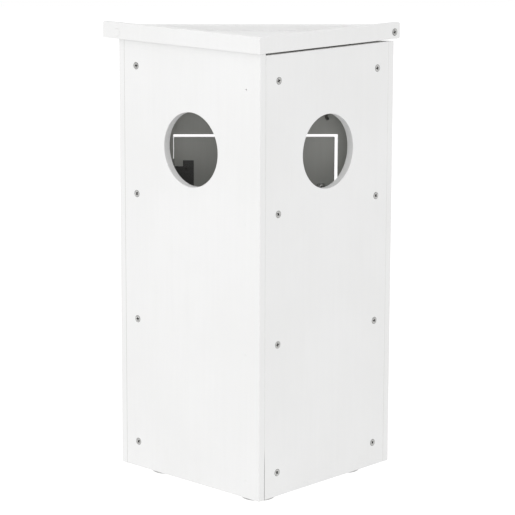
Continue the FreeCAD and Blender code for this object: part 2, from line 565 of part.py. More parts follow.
rear_edge = "-rear_clearance"
lid_boards = {
    "lid_left_rim": upright(LEFT, "lid_left_rim_blank", [
        ("-left_rim_past", "-left_overhang"),
        ("face_width + right_overhang", "-left_overhang"),
        ("face_width + right_overhang - rim_thickness", "rim_thickness - left_overhang"),
        ("-left_rim_past", "rim_thickness - left_overhang")],
        LID_FOOT, "rim_height"),
    "lid_right_rim": upright(RIGHT, "lid_right_rim_blank", [
        ("-left_overhang", "-right_overhang"), (RIGHT_REACH, "-right_overhang"),
        (RIGHT_REACH, "rim_thickness - right_overhang"),
        ("rim_thickness - left_overhang", "rim_thickness - right_overhang")],
        LID_FOOT, "rim_height"),
    "lid_rear_rail": upright(REAR, "lid_rear_rail_blank", [
        (f"{RIGHT_INNER} - rear_clearance - rim_thickness", f"{rear_edge} - rim_thickness"),
        (f"2 * {HALF_REAR} - {LEFT_INNER} + rear_clearance + rim_thickness",
         f"{rear_edge} - rim_thickness"),
        (f"2 * {HALF_REAR} - {LEFT_INNER} + rear_clearance", rear_edge),
        (f"{RIGHT_INNER} - rear_clearance", rear_edge)], LID_FOOT, "rail_height"),
    "lid_board": upright(REAR, "lid_board_blank", [
        (f"{RIGHT_INNER} - rear_clearance", rear_edge),
        (f"2 * {HALF_REAR} - {LEFT_INNER} + rear_clearance", rear_edge),
        (f"{HALF_REAR} + ({RIGHT_INNER} - {LEFT_INNER}) / 2",
         f"{HALF_REAR} - ({RIGHT_INNER} + {LEFT_INNER}) / 2")], LID_FOOT, "lid_thickness"),
    "lid_left_cleat": upright(LEFT, "lid_left_cleat_blank", rectangle(
        CLEAT_LEFT[0], CLEAT_NEAR, CLEAT_LEFT[1], f"{CLEAT_NEAR} + cleat_width"),
        CLEAT_FOOT, "cleat_height"),
    "lid_right_cleat": upright(RIGHT, "lid_right_cleat_blank", rectangle(
        CLEAT_RIGHT[0], CLEAT_NEAR, CLEAT_RIGHT[1], f"{CLEAT_NEAR} + cleat_width"),
        CLEAT_FOOT, "cleat_height"),
}
for label, blank in lid_boards.items():
    nodes.append(bored(label, blank, lid_rooms))

# --- checks and files ---
doc.recompute()
failed = [item.Label for item in doc.Objects
          if {"Invalid", "Error"} & set(item.State)]
failed += [node.Label for node in nodes
           if node.Shape.isNull() or not node.Shape.isValid() or not node.Shape.Solids]
if failed:
    raise RuntimeError(f"not built: {failed}")
os.makedirs("parts", exist_ok=True)
for node in nodes:
    node.Shape.exportStep(f"parts/{node.Label}.step")
    print(f"{node.Label}: {len(node.Shape.Solids)} solids, {node.Shape.Volume:.1f} mm3")
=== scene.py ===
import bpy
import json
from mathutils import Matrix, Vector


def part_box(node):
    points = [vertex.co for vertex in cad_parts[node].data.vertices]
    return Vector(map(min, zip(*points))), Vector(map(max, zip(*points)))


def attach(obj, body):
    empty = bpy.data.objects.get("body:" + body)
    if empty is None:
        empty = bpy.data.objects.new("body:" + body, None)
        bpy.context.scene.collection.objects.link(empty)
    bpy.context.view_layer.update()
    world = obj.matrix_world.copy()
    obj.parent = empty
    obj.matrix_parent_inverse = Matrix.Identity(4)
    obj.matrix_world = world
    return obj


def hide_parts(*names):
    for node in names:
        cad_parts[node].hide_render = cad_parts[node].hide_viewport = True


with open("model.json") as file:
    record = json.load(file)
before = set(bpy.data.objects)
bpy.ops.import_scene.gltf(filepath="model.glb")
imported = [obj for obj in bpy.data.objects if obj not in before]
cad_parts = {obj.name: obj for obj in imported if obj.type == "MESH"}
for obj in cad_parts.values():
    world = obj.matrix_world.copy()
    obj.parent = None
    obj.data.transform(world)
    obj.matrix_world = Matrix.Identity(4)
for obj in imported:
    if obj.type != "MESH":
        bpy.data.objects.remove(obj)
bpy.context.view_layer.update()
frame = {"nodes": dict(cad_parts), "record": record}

"""Looks of a corner nest box: white painted plywood, zinc screws, black hinges and felt pads.

The boards are the CAD boards with softened arrises. Screws, pins, knob, turn button, washers, pads
and filler spots are surfaces worked out with numpy in the frame of the face that they belong to.
"""
import json
import logging
import math
from dataclasses import dataclass, field
from enum import Enum
from typing import Any, Callable, Sequence

import bmesh
import bpy
import numpy as np
from mathutils import Matrix, Vector

MM = 0.001
LOG = logging.getLogger("nest_box")
Array = np.ndarray


# --- places ---------------------------------------------------------------------------------
@dataclass(frozen=True)
class Face:
    """The frame of one outer face: across it as seen from outside, into the box, and up."""

    origin: tuple[float, float, float]
    turn: float

    def _spin(self, sign: float) -> Array:
        """The matrix that turns rows of points about Z by sign times the face's turn."""
        cos, sin = math.cos(self.turn), sign * math.sin(self.turn)
        return np.array([[cos, sin, 0.0], [-sin, cos, 0.0], [0.0, 0.0, 1.0]])

    def place(self, local: Array) -> Array:
        """Turns points of the face's own frame about Z and moves them to its origin.

        Args:
            local: points with across, inward and up in their last axis, in metres.
        Returns:
            The same points in the row's frame.
        """
        return local @ self._spin(1.0) + np.array(self.origin)

    def measure(self, points: Array) -> Array:
        """Gives points of the row's frame in the face's own frame.

        Args:
            points: points in the row's frame, in metres.
        Returns:
            Across, inward and up for each point.
        """
        return (points - np.array(self.origin)) @ self._spin(-1.0)


@dataclass(frozen=True)
class Plan:
    """The triangle that the box stands on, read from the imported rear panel."""

    centre: float
    half: float
    rear: float
    foot: float
    panel: float
    back_panel: float
    floor_top: float
    ceiling: float

    @classmethod
    def from_frame(cls) -> "Plan":
        """Reads the rear panel's box, whose width is the triangle's long side, and the walls."""
        low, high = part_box("rear_panel")
        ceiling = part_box("lid_board")[0].z
        floor_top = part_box("floor_board")[1].z
        return cls((low.x + high.x) / 2, (high.x - low.x) / 2, high.y, low.z,
                   floor_top - low.z, high.y - low.y, floor_top, ceiling)

    def indoors(self, points: Array, slack: float = 0.2 * MM) -> Array:
        """Tells which points are in the room behind the walls, or on its surface.

        Args:
            points: points in the row's frame.
            slack: how far outside the room a point may be.
        Returns:
            1 for a point at least a wall's thickness behind each outer face, above the floor and
            below the lid's board, and 0 for any other.
        """
        deep = np.minimum(self.left().measure(points)[:, 1], self.right().measure(points)[:, 1])
        behind = self.back().measure(points)[:, 1] > self.back_panel - slack
        level = points[:, 2]
        upright = (level > self.floor_top - slack) & (level < self.ceiling + slack)
        return ((deep > self.panel - slack) & behind & upright).astype(np.float32)

    def left(self) -> Face:
        """The left face, which starts at the left rear corner."""
        return Face((self.centre - self.half, self.rear, self.foot), -math.pi / 4)

    def right(self) -> Face:
        """The right face, which starts at the front corner."""
        return Face((self.centre, self.rear - self.half, self.foot), math.pi / 4)

    def back(self) -> Face:
        """The rear face, which starts at the right rear corner."""
        return Face((self.centre + self.half, self.rear, self.foot), math.pi)


class Way(Enum):
    """Which way a fastener's axis points, as a turn of its own frame about X and Z."""

    INWARD = (0.0, 0.0)
    OUTWARD = (0.0, math.pi)
    UPWARD = (math.pi / 2, 0.0)

    def aim(self, local: Array) -> Array:
        """Turns points whose axis is +Y so that it points this way.

        Args:
            local: points about the origin, with the axis along +Y.
        Returns:
            The turned points.
        """
        tilt, spin = self.value
        x, y, z = local[..., 0], local[..., 1], local[..., 2]
        y, z = y * math.cos(tilt) - z * math.sin(tilt), y * math.sin(tilt) + z * math.cos(tilt)
        x, y = x * math.cos(spin) - y * math.sin(spin), x * math.sin(spin) + y * math.cos(spin)
        return np.stack([x, y, z], axis=-1)


# --- surfaces -------------------------------------------------------------------------------
def cad_points(node: str) -> Array:
    """A CAD node's vertices, in the row's frame."""
    mesh = frame["nodes"][node].data
    points = np.empty(len(mesh.vertices) * 3)
    mesh.vertices.foreach_get("co", points)
    return points.reshape(-1, 3)


@dataclass
class Surface:
    """Points and faces of one closed surface, before they become a mesh."""

    points: Array
    faces: list[Sequence[int]]
    recess: Array | None = None

    @classmethod
    def joined(cls, parts: Sequence["Surface"]) -> "Surface":
        """Puts several surfaces into one, each with its own points.

        Args:
            parts: the surfaces.
        Returns:
            One surface that holds them all.
        """
        points, faces, first = [], [], 0
        for part in parts:
            points.append(part.points)
            faces += [[corner + first for corner in face] for face in part.faces]
            first += len(part.points)
        depth = None
        if all(part.recess is not None for part in parts):
            depth = np.concatenate([part.recess for part in parts])
        return cls(np.concatenate(points), faces, depth)

    @classmethod
    def turned(cls, radius: Array, along: Array, lift: Array | None = None) -> "Surface":
        """A surface of revolution about +Y: x = r cos a, y = along + lift, z = r sin a.

        Args:
            radius: a grid of radii, stations by angles, zero at both ends.
            along: the distance along the axis at each station.
            lift: an extra distance along the axis for each station and angle; its share of
                the deepest is kept as the surface's recess.
        Returns:
            The closed surface, with one point at each pole.
        """
        stations, sides = radius.shape
        angle = np.linspace(0.0, 2.0 * math.pi, sides, endpoint=False)
        height = np.broadcast_to(along[:, None], radius.shape) + (0.0 if lift is None else lift)
        ring = np.stack([radius * np.cos(angle), height, radius * np.sin(angle)], axis=-1)
        body = ring[1:-1].reshape(-1, 3)
        points = np.concatenate([ring[0, :1], body, ring[-1, :1]])
        depth = None
        if lift is not None:
            share = lift / max(float(lift.max()), 1e-9)
            depth = np.concatenate([share[0, :1], share[1:-1].reshape(-1), share[-1, :1]])
        index = 1 + np.arange((stations - 2) * sides).reshape(stations - 2, sides)
        after = np.roll(index, -1, axis=1)
        quads = np.stack([index[:-1], after[:-1], after[1:], index[1:]], axis=-1).reshape(-1, 4)
        last = len(points) - 1
        start = np.stack([np.zeros(sides, int), after[0], index[0]], axis=-1)
        end = np.stack([np.full(sides, last), index[-1], after[-1]], axis=-1)
        return cls(points, [*quads.tolist(), *start.tolist(), *end.tolist()], depth)

    @classmethod
    def ring(cls, grid: Array) -> "Surface":
        """A surface closed both ways: a grid of points whose last row and column meet the first.

        Args:
            grid: points, stations by sides by 3.
        Returns:
            The closed surface.
        """
        stations, sides = grid.shape[:2]
        index = np.arange(stations * sides).reshape(stations, sides)
        after, below = np.roll(index, -1, axis=1), np.roll(index, -1, axis=0)
        corner = np.roll(after, -1, axis=0)
        quads = np.stack([index, after, corner, below], axis=-1).reshape(-1, 4)
        return cls(grid.reshape(-1, 3), quads.tolist())

    @classmethod
    def of_nodes(cls, nodes: Sequence[str]) -> "Surface":
        """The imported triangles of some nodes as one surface, with equal points merged.

        Faces whose corners all belong to two nodes, as in a glued mitre, are left out, so that
        the two boards become one closed surface.

        Args:
            nodes: the names of the CAD nodes.
        Returns:
            The merged surface.
        """
        points, corners, owner, first = [], [], [], 0
        for number, node in enumerate(nodes):
            mesh = frame["nodes"][node].data
            mesh.calc_loop_triangles()
            tris = np.empty(len(mesh.loop_triangles) * 3, int)
            mesh.loop_triangles.foreach_get("vertices", tris)
            points.append(cad_points(node))
            corners.append(tris.reshape(-1, 3) + first)
            owner.append(np.full(len(mesh.vertices), number))
            first += len(mesh.vertices)
        keys = np.round(np.concatenate(points) / (0.002 * MM)).astype(np.int64)
        kept, first_of, merged = np.unique(keys, axis=0, return_index=True, return_inverse=True)
        tris = merged.reshape(-1)[np.concatenate(corners)]
        whole = (tris[:, 0] != tris[:, 1]) & (tris[:, 1] != tris[:, 2]) & (tris[:, 2] != tris[:, 0])
        owned = np.zeros((len(nodes), len(kept)), bool)
        owned[np.concatenate(owner), merged.reshape(-1)] = True
        glued = (owned.sum(axis=0) > 1)[tris].all(axis=1)
        tris = tris[whole & ~glued]
        return cls(np.concatenate(points)[first_of], tris.tolist())

    def placed(self, face: Face, spot: Array, way: Way = Way.INWARD) -> "Surface":
        """Turns the surface to point a way and moves it to a spot of a face.

        Args:
            face: the face.
            spot: where the surface's origin goes, in the face's own frame.
            way: which way its axis points.
        Returns:
            The surface in the row's frame.
        """
        return Surface(face.place(way.aim(self.points) + spot), self.faces, self.recess)

    def piece(self, name: str) -> bpy.types.Object:
        """Makes the surface a mesh object at the origin, with smooth faces that point outwards.

        Args:
            name: the piece's name.
        Returns:
            The new object.
        """
        mesh = bpy.data.meshes.new(name)
        mesh.from_pydata(self.points.tolist(), [], self.faces)
        mesh.validate()
        edit = bmesh.new()
        edit.from_mesh(mesh)
        bmesh.ops.recalc_face_normals(edit, faces=edit.faces)
        edit.to_mesh(mesh)
        edit.free()
        mesh.polygons.foreach_set("use_smooth", np.ones(len(mesh.polygons), bool))
        if self.recess is not None:
            marks = mesh.attributes.new("recess", "FLOAT", "POINT")
            marks.data.foreach_set("value", self.recess.astype(np.float32))
        made = bpy.data.objects.new(name, mesh)
        bpy.context.scene.collection.objects.link(made)
        return made


# --- shader node groups and materials ---------------------------------------------------------
@dataclass
class Wiring:
    """Adds and joins nodes in one node tree."""

    tree: Any

    def add(self, kind: str, values: dict[Any, Any] | None = None, **settings: Any) -> Any:
        """Adds a node.

        Args:
            kind: the node's type without its ShaderNode prefix.
            values: what its input sockets hold, by name or place; a socket is joined instead.
            settings: the node's own settings.
        Returns:
            The new node.
        """
        node = self.tree.nodes.new(f"ShaderNode{kind}")
        for name, setting in settings.items():
            setattr(node, name, setting)
        for key, value in (values or {}).items():
            if isinstance(value, bpy.types.NodeSocket):
                self.tree.links.new(value, node.inputs[key])
            else:
                node.inputs[key].default_value = value
        return node

    def join(self, source: Any, target: Any) -> None:
        """Joins an output socket to an input socket."""
        self.tree.links.new(source, target)

    def noise(self, spot: Any, scale: Any, detail: float, **values: float) -> Any:
        """Adds a noise texture.

        Args:
            spot: the socket of the point that it is read at.
            scale: its scale, as a value or a socket.
            detail: its detail.
            values: its other inputs.
        Returns:
            Its value's socket.
        """
        return self.add("TexNoise", {"Vector": spot, "Scale": scale, "Detail": detail,
                                     **values}).outputs[0]

    def blend(self, share: float, first: Any, second: Any) -> Any:
        """Adds a share of one value to the rest of another and returns the result's socket."""
        return self.sum_of("ADD", self.sum_of("MULTIPLY", first, share),
                           self.sum_of("MULTIPLY", second, 1.0 - share))

    def sum_of(self, kind: str, first: Any, second: Any, clamp: bool = False) -> Any:
        """Adds a Math node for two values or sockets and returns its result.

        Args:
            kind: the operation, such as MULTIPLY.
            first: the first value or socket.
            second: the second value or socket.
            clamp: whether the result stays from 0 to 1.
        Returns:
            The result's socket.
        """
        return self.add("Math", {0: first, 1: second}, operation=kind, use_clamp=clamp).outputs[0]

    def ramp(self, value: Any, low: float, high: float, start: float = 0.0,
             end: float = 1.0) -> Any:
        """Maps a value smoothly from one range to another and keeps it there.

        Args:
            value: the socket to map.
            low: the value that gives start.
            high: the value that gives end.
            start: the result at low.
            end: the result at high.
        Returns:
            The result's socket.
        """
        node = self.add("MapRange", {0: value, 1: low, 2: high, 3: start, 4: end},
                        interpolation_type="SMOOTHSTEP")
        return node.outputs[0]

    def mix(self, share: Any, first: Any, second: Any) -> Any:
        """Mixes two colours by a share and returns the result's socket."""
        node = self.add("Mix", {0: share, 6: first, 7: second}, data_type="RGBA")
        return node.outputs[2]


class Effects:
    """The shader node groups that several finishes share, each built once."""

    def __init__(self) -> None:
        """Starts with no group made."""
        self._made: dict[str, Any] = {}

    def _group(self, name: str, inputs: dict[str, float], *outputs: str) -> Any:
        """Makes a group with its sockets and returns its wiring, inputs and output node."""
        tree = bpy.data.node_groups.new(name, "ShaderNodeTree")
        for label, value in inputs.items():
            tree.interface.new_socket(label, in_out="INPUT",
                                      socket_type="NodeSocketFloat").default_value = value
        for label in outputs:
            tree.interface.new_socket(label, in_out="OUTPUT", socket_type="NodeSocketFloat")
        self._made[name] = tree
        return (Wiring(tree), tree.nodes.new("NodeGroupInput").outputs,
                tree.nodes.new("NodeGroupOutput").inputs)

    def place(self, wiring: Wiring, name: str, **values: Any) -> Any:
        """Places a group in a material.

        Args:
            wiring: the material's wiring.
            name: the group: paint_film, arris_wear, grime, timber_grain, scuffs or fibres.
            values: what its inputs hold.
        Returns:
            The group node's outputs.
        """
        if name not in self._made:
            getattr(self, name)()
        return wiring.add("Group", values, node_tree=self._made[name]).outputs

    def paint_film(self) -> None:
        """Rolled and brushed paint: a fine orange-peel stipple over faint strokes along the board.

        Height is 0.6 of the stipple plus 0.4 of the strokes; Shade drifts slowly about 0.5.
        """
        wire, given, out = self._group(
            "paint_film", {"Stipple": 620.0, "Strokes": 1.0, "Across": 190.0, "Along": 9.0},
            "Shade", "Height", "Gloss")
        spot = wire.add("TexCoord").outputs["Object"]
        stipple = wire.noise(spot, given["Stipple"], 2.0, Roughness=0.45)
        across, along = given["Across"], given["Along"]
        stretch = wire.add("CombineXYZ", {0: across, 1: across, 2: along}).outputs[0]
        brushed = wire.add("VectorMath", {0: spot, 1: stretch}, operation="MULTIPLY").outputs[0]
        streaks = wire.noise(brushed, 1.0, 4.0, Roughness=0.6)
        strokes = wire.sum_of("MULTIPLY", streaks, given["Strokes"])
        wire.join(wire.blend(0.7, wire.noise(spot, 7.0, 3.0), streaks), out["Shade"])
        wire.join(wire.blend(0.6, stipple, strokes), out["Height"])
        wire.join(wire.noise(spot, 38.0, 3.0), out["Gloss"])

    def arris_wear(self) -> None:
        """A mask of the sharp outer edges: where the normal of a rounded edge leaves the face's.

        The mask is (1 - their dot product) times a broken-up noise.
        """
        wire, given, out = self._group(
            "arris_wear", {"Radius": 0.0012, "Breaks": 160.0, "Amount": 1.0}, "Mask")
        soft = wire.add("Bevel", {"Radius": given["Radius"]}, samples=4).outputs[0]
        face = wire.add("NewGeometry").outputs["Normal"]
        same = wire.add("VectorMath", {0: soft, 1: face}, operation="DOT_PRODUCT").outputs["Value"]
        edge = wire.ramp(wire.sum_of("SUBTRACT", 1.0, same), 0.01, 0.16)
        spot = wire.add("TexCoord").outputs["Object"]
        breaks = wire.ramp(wire.noise(spot, given["Breaks"], 5.0), 0.48, 0.72)
        worn = wire.sum_of("MULTIPLY", edge, breaks)
        wire.join(wire.sum_of("MULTIPLY", worn, given["Amount"], True), out["Mask"])

    def grime(self) -> None:
        """A mask of handling dirt: specks, and a film that thickens towards the ground."""
        wire, given, out = self._group(
            "grime", {"Foot": 0.06, "Specks": 900.0, "Amount": 1.0}, "Mask")
        spot = wire.add("TexCoord").outputs["Object"]
        level = wire.add("SeparateXYZ", {0: spot}).outputs["Z"]
        low = wire.sum_of("SUBTRACT", 1.0, wire.sum_of("DIVIDE", level, given["Foot"]), True)
        cloud = wire.noise(spot, 24.0, 6.0, Roughness=0.65)
        film = wire.sum_of("MULTIPLY", wire.sum_of("ADD", low, 0.25), wire.ramp(cloud, 0.4, 0.8))
        dots = wire.add("TexVoronoi", {"Vector": spot, "Scale": given["Specks"]}).outputs[0]
        specks = wire.sum_of("MULTIPLY", wire.ramp(dots, 0.16, 0.05), wire.ramp(cloud, 0.5, 0.62))
        total = wire.sum_of("ADD", film, wire.sum_of("MULTIPLY", specks, 0.5))
        wire.join(wire.sum_of("MULTIPLY", total, given["Amount"], True), out["Mask"])

    def timber_grain(self) -> None:
        """Growth rings cut lengthwise: rings about a far axis, bent by noise, with fine pores."""
        wire, given, out = self._group(
            "timber_grain", {"Rings": 240.0, "Bend": 3.0, "Pores": 1400.0}, "Ring", "Pore")
        spot = wire.add("TexCoord").outputs["Object"]
        shift = wire.add("Mapping", {"Vector": spot, "Location": (0.02, 0.01, 0.0),
                                     "Rotation": (0.12, 0.07, 0.0)}).outputs[0]
        rings = wire.add("TexWave", {"Vector": shift, "Scale": given["Rings"],
                                     "Distortion": given["Bend"], "Detail": 3.0,
                                     "Detail Scale": 0.6}, wave_type="RINGS",
                         rings_direction="Z", wave_profile="SAW").outputs[0]
        fine = wire.add("Mapping", {"Vector": spot, "Scale": (1.0, 1.0, 0.06)}).outputs[0]
        pores = wire.noise(fine, given["Pores"], 2.0)
        wire.join(rings, out["Ring"])
        wire.join(wire.ramp(pores, 0.55, 0.75), out["Pore"])

    def scuffs(self) -> None:
        """Fine scratches of three lengths, and the cloudy crystals of a plated or coated metal."""
        wire, given, out = self._group(
            "scuffs", {"Crystals": 700.0, "Scratches": 260.0}, "Cloud", "Scratch")
        spot = wire.add("TexCoord").outputs["Object"]
        cloud = wire.add("TexVoronoi", {"Vector": spot, "Scale": given["Crystals"]},
                         feature="SMOOTH_F1").outputs[0]
        skew = wire.add("Mapping", {"Vector": spot, "Rotation": (0.4, 0.9, 0.3),
                                    "Scale": (1.0, 14.0, 3.0)}).outputs[0]
        lines = wire.noise(skew, given["Scratches"], 4.0, Roughness=0.7)
        wire.join(cloud, out["Cloud"])
        wire.join(wire.ramp(lines, 0.56, 0.7), out["Scratch"])

    def fibres(self) -> None:
        """Pressed felt: two tangled layers of short strands, from noise bent by noise."""
        wire, given, out = self._group("fibres", {"Strands": 1500.0}, "Shade", "Height")
        spot = wire.add("TexCoord").outputs["Object"]
        layers = []
        for turn in ((0.0, 0.3, 0.9), (0.8, 0.2, 2.4)):
            skew = wire.add("Mapping", {"Vector": spot, "Rotation": turn,
                                        "Scale": (1.0, 0.22, 0.6)}).outputs[0]
            layers.append(wire.noise(skew, given["Strands"], 3.0, Distortion=1.4))
        height = wire.sum_of("MAXIMUM", layers[0], layers[1])
        wire.join(wire.ramp(height, 0.35, 0.75), out["Shade"])
        wire.join(height, out["Height"])


EFFECTS = Effects()
Colour = tuple[float, float, float, float]
WHITE: Colour = (1.0, 1.0, 1.0, 1.0)


class Shell:
    """A material in the making: one Principled shader, bumped by a height."""

    def __init__(self, name: str, bump: float, depth: float, **values: float) -> None:
        """Starts the material.

        Args:
            name: the finish's name.
            bump: the bump's strength.
            depth: the bump's depth in metres.
            values: uniform values of the shader's own sockets, with _ for a space.
        """
        self.material = bpy.data.materials.new(f"{name}_finish")
        self.material.use_nodes = True
        self.wire = Wiring(self.material.node_tree)
        self.shader = self.material.node_tree.nodes["Principled BSDF"]
        for label, value in values.items():
            self.shader.inputs[label.replace("_", " ")].default_value = value
        self.relief = self.wire.add("Bump", {"Strength": bump, "Distance": depth})
        self.wire.join(self.relief.outputs[0], self.shader.inputs["Normal"])

    def close(self, base: Any, height: Any, rough: Any = None) -> bpy.types.Material:
        """Joins the last sockets.

        Args:
            base: the colour's socket.
            height: the relief's socket.
            rough: the roughness's socket, where it isn't uniform.
        Returns:
            The finished material.
        """
        self.wire.join(base, self.shader.inputs["Base Color"])
        self.wire.join(height, self.relief.inputs["Height"])
        if rough is not None:
            self.wire.join(rough, self.shader.inputs["Roughness"])
        return self.material


def indoor_shade_share(wire: Wiring, drift: Any) -> Any:
    """How much painted shade darkens the indoor faces: the face mark, a little patchy with the
    drift.

    Args:
        wire: the material's wiring.
        drift: the paint film's slow drift.
    Returns:
        The share's socket.
    """
    # painted shade: the indoor mark decides where the colour is darkened
    mark = wire.add("Attribute", attribute_name="indoors").outputs["Fac"]
    return wire.sum_of("MULTIPLY", mark, wire.ramp(drift, 0.3, 0.7, 1.0, 0.86))


def open_joint(wire: Wiring) -> Any:
    """Where the paint has cracked along the foot of the front corner's joint.

    The mask is a band about the line one panel's thickness across the right face, and it fades
    out from half its height to its top.

    Args:
        wire: the material's wiring.
    Returns:
        The mask's socket.
    """
    plan = Plan.from_frame()
    half_band, reach, soft, fade = 0.42 * MM, 66.0 * MM, 0.6, 0.5
    corner = plan.right().origin
    spot = wire.add("TexCoord").outputs["Object"]
    here = wire.add("VectorMath", {0: spot, 1: corner}, operation="SUBTRACT").outputs[0]
    turned = wire.add("VectorRotate", {"Vector": here, "Angle": -plan.right().turn},
                      rotation_type="Z_AXIS").outputs[0]
    across = wire.add("SeparateXYZ", {0: turned})
    aside = wire.sum_of("ABSOLUTE", wire.sum_of("SUBTRACT", across.outputs["X"], plan.panel), 0.0)
    band = wire.ramp(aside, half_band, soft * half_band)
    low = wire.ramp(across.outputs["Z"], reach, fade * reach)
    front = wire.ramp(across.outputs["Y"], plan.panel, fade * plan.panel)
    return wire.sum_of("MULTIPLY", wire.sum_of("MULTIPLY", band, low), front)


@dataclass(frozen=True)
class WhitePaint:
    """White eggshell paint, rolled on the faces, a little worn and grimy at the arrises."""

    name: str = "white_paint"
    tint: Colour = (0.765, 0.765, 0.763, 1.0)
    shade: Colour = (0.744, 0.744, 0.740, 1.0)
    worn: Colour = (0.62, 0.58, 0.51, 1.0)
    dirt: Colour = (0.36, 0.33, 0.29, 1.0)
    # painted shade: a darker colour for the indoor faces, standing in for the shade inside the box
    painted_indoor_shade: Colour = (0.47, 0.475, 0.448, 1.0)
    gap: Colour = (0.13, 0.13, 0.125, 1.0)
    stipple: float = 620.0
    strokes: float = 0.5
    wear: float = 0.3
    grime: float = 0.035

    def made(self) -> bpy.types.Material:
        """Builds the paint: drift, painted indoor shade, wear on the arrises, grime, stipple and
        strokes.
        """
        shell = Shell(self.name, 0.32, 0.00035, IOR=1.45)
        wire = shell.wire
        film = EFFECTS.place(wire, "paint_film", Stipple=self.stipple, Strokes=self.strokes)
        worn = EFFECTS.place(wire, "arris_wear", Amount=self.wear)["Mask"]
        dirt = EFFECTS.place(wire, "grime", Amount=self.grime)["Mask"]
        base = wire.mix(wire.ramp(film["Shade"], 0.35, 0.65), self.shade, self.tint)
        # painted shade: the indoor faces are mixed towards the darker indoor colour
        base = wire.mix(indoor_shade_share(wire, film["Shade"]), base, self.painted_indoor_shade)
        base = wire.mix(open_joint(wire), base, self.gap)
        base = wire.mix(dirt, wire.mix(worn, base, self.worn), self.dirt)
        gloss = wire.ramp(film["Gloss"], 0.3, 0.7, 0.40, 0.54)
        rough = wire.sum_of("ADD", gloss, wire.sum_of("MULTIPLY", worn, 0.25))
        return shell.close(base, film["Height"], rough)


@dataclass(frozen=True)
class PaintedTimber:
    """Softwood under one thinner coat: the grain stands up through the paint."""

    name: str = "painted_timber"
    tint: Colour = (0.79, 0.785, 0.77, 1.0)
    shade: Colour = (0.71, 0.69, 0.65, 1.0)
    # painted shade: a darker colour for the indoor faces, standing in for the shade inside the box
    painted_indoor_shade: Colour = (0.48, 0.48, 0.45, 1.0)
    dirt: Colour = (0.33, 0.30, 0.26, 1.0)

    def made(self) -> bpy.types.Material:
        """Builds the timber: growth rings in the colour and the relief, a fine paint film, and
        painted indoor shade.
        """
        shell = Shell(self.name, 0.45, 0.0004, IOR=1.45)
        wire = shell.wire
        film = EFFECTS.place(wire, "paint_film", Stipple=480.0, Strokes=0.8)
        grain = EFFECTS.place(wire, "timber_grain", Rings=210.0)
        dirt = EFFECTS.place(wire, "grime", Amount=0.3)["Mask"]
        base = wire.mix(wire.ramp(grain["Ring"], 0.2, 0.95), self.tint, self.shade)
        # painted shade: the indoor faces are mixed towards the darker indoor colour
        base = wire.mix(indoor_shade_share(wire, film["Shade"]), base, self.painted_indoor_shade)
        base = wire.mix(wire.sum_of("MULTIPLY", grain["Pore"], 0.35), base, self.shade)
        height = wire.blend(0.5, grain["Ring"], film["Height"])
        rough = wire.ramp(film["Gloss"], 0.3, 0.7, 0.5, 0.66)
        return shell.close(wire.mix(dirt, base, self.dirt), height, rough)


@dataclass(frozen=True)
class Metal:
    """A plated, bare or coated metal: crystal clouds, fine scratches, grime, and painted shade in
    the recesses.
    """

    name: str
    bright: Colour
    dull: Colour
    scratch: Colour
    metallic: float
    smooth: float
    rough: float
    crystals: float = 700.0
    dirt: Colour = (0.12, 0.10, 0.08, 1.0)
    # painted shade: near black for the cross recess and the ring round a countersunk head
    recess_shade: Colour = (0.035, 0.033, 0.030, 1.0)

    def made(self) -> bpy.types.Material:
        """Builds the metal from the scuffs and dirt, with painted shade where the surface is sunk.
        """
        shell = Shell(self.name, 0.2, 0.0001, Metallic=self.metallic)
        wire = shell.wire
        marks = EFFECTS.place(wire, "scuffs", Crystals=self.crystals)
        dirt = EFFECTS.place(wire, "grime", Amount=0.35, Foot=0.001)["Mask"]
        base = wire.mix(wire.ramp(marks["Cloud"], 0.1, 0.6), self.dull, self.bright)
        base = wire.mix(wire.sum_of("MULTIPLY", marks["Scratch"], 0.6), base, self.scratch)
        base = wire.mix(dirt, base, self.dirt)
        # painted shade: the recess mark darkens the sunk cross and the ring round the head
        sunk = wire.add("Attribute", attribute_name="recess").outputs["Fac"]
        base = wire.mix(wire.ramp(sunk, 0.02, 0.35), base, self.recess_shade)
        height = wire.sum_of("SUBTRACT", marks["Cloud"], marks["Scratch"])
        rough = wire.ramp(marks["Cloud"], 0.1, 0.6, self.rough, self.smooth)
        return shell.close(base, height, rough)


@dataclass(frozen=True)
class Felt:
    """Grey furniture felt."""

    name: str = "felt_pad"
    light: Colour = (0.56, 0.56, 0.55, 1.0)
    dark: Colour = (0.24, 0.24, 0.24, 1.0)

    def made(self) -> bpy.types.Material:
        """Builds the felt from the fibres, with a soft sheen."""
        shell = Shell(self.name, 0.8, 0.0006, Roughness=0.95, Sheen_Weight=0.25,
                      Specular_IOR_Level=0.2)
        wire = shell.wire
        strands = EFFECTS.place(wire, "fibres")
        dirt = EFFECTS.place(wire, "grime", Amount=0.5, Foot=0.002)["Mask"]
        base = wire.mix(strands["Shade"], self.dark, self.light)
        return shell.close(wire.mix(dirt, base, self.dark), strands["Height"])


@dataclass(frozen=True)
class Beech:
    """Turned beech under clear varnish: pale pink-brown with short dark flecks."""

    name: str = "beech_knob"
    pale: Colour = (0.60, 0.40, 0.235, 1.0)
    warm: Colour = (0.46, 0.275, 0.145, 1.0)
    fleck: Colour = (0.27, 0.14, 0.07, 1.0)

    def made(self) -> bpy.types.Material:
        """Builds the beech: rings, flecks and a clear coat."""
        shell = Shell(self.name, 0.25, 0.0002, Coat_Weight=0.5, Coat_Roughness=0.18, IOR=1.45)
        wire = shell.wire
        grain = EFFECTS.place(wire, "timber_grain", Rings=420.0, Bend=2.0, Pores=2200.0)
        worn = EFFECTS.place(wire, "arris_wear", Amount=0.4, Radius=0.0015)["Mask"]
        base = wire.mix(wire.ramp(grain["Ring"], 0.1, 0.95), self.pale, self.warm)
        base = wire.mix(wire.sum_of("MULTIPLY", grain["Pore"], 0.8), base, self.fleck)
        rough = wire.ramp(grain["Ring"], 0.0, 1.0, 0.36, 0.5)
        return shell.close(wire.mix(worn, base, self.pale), grain["Pore"], rough)


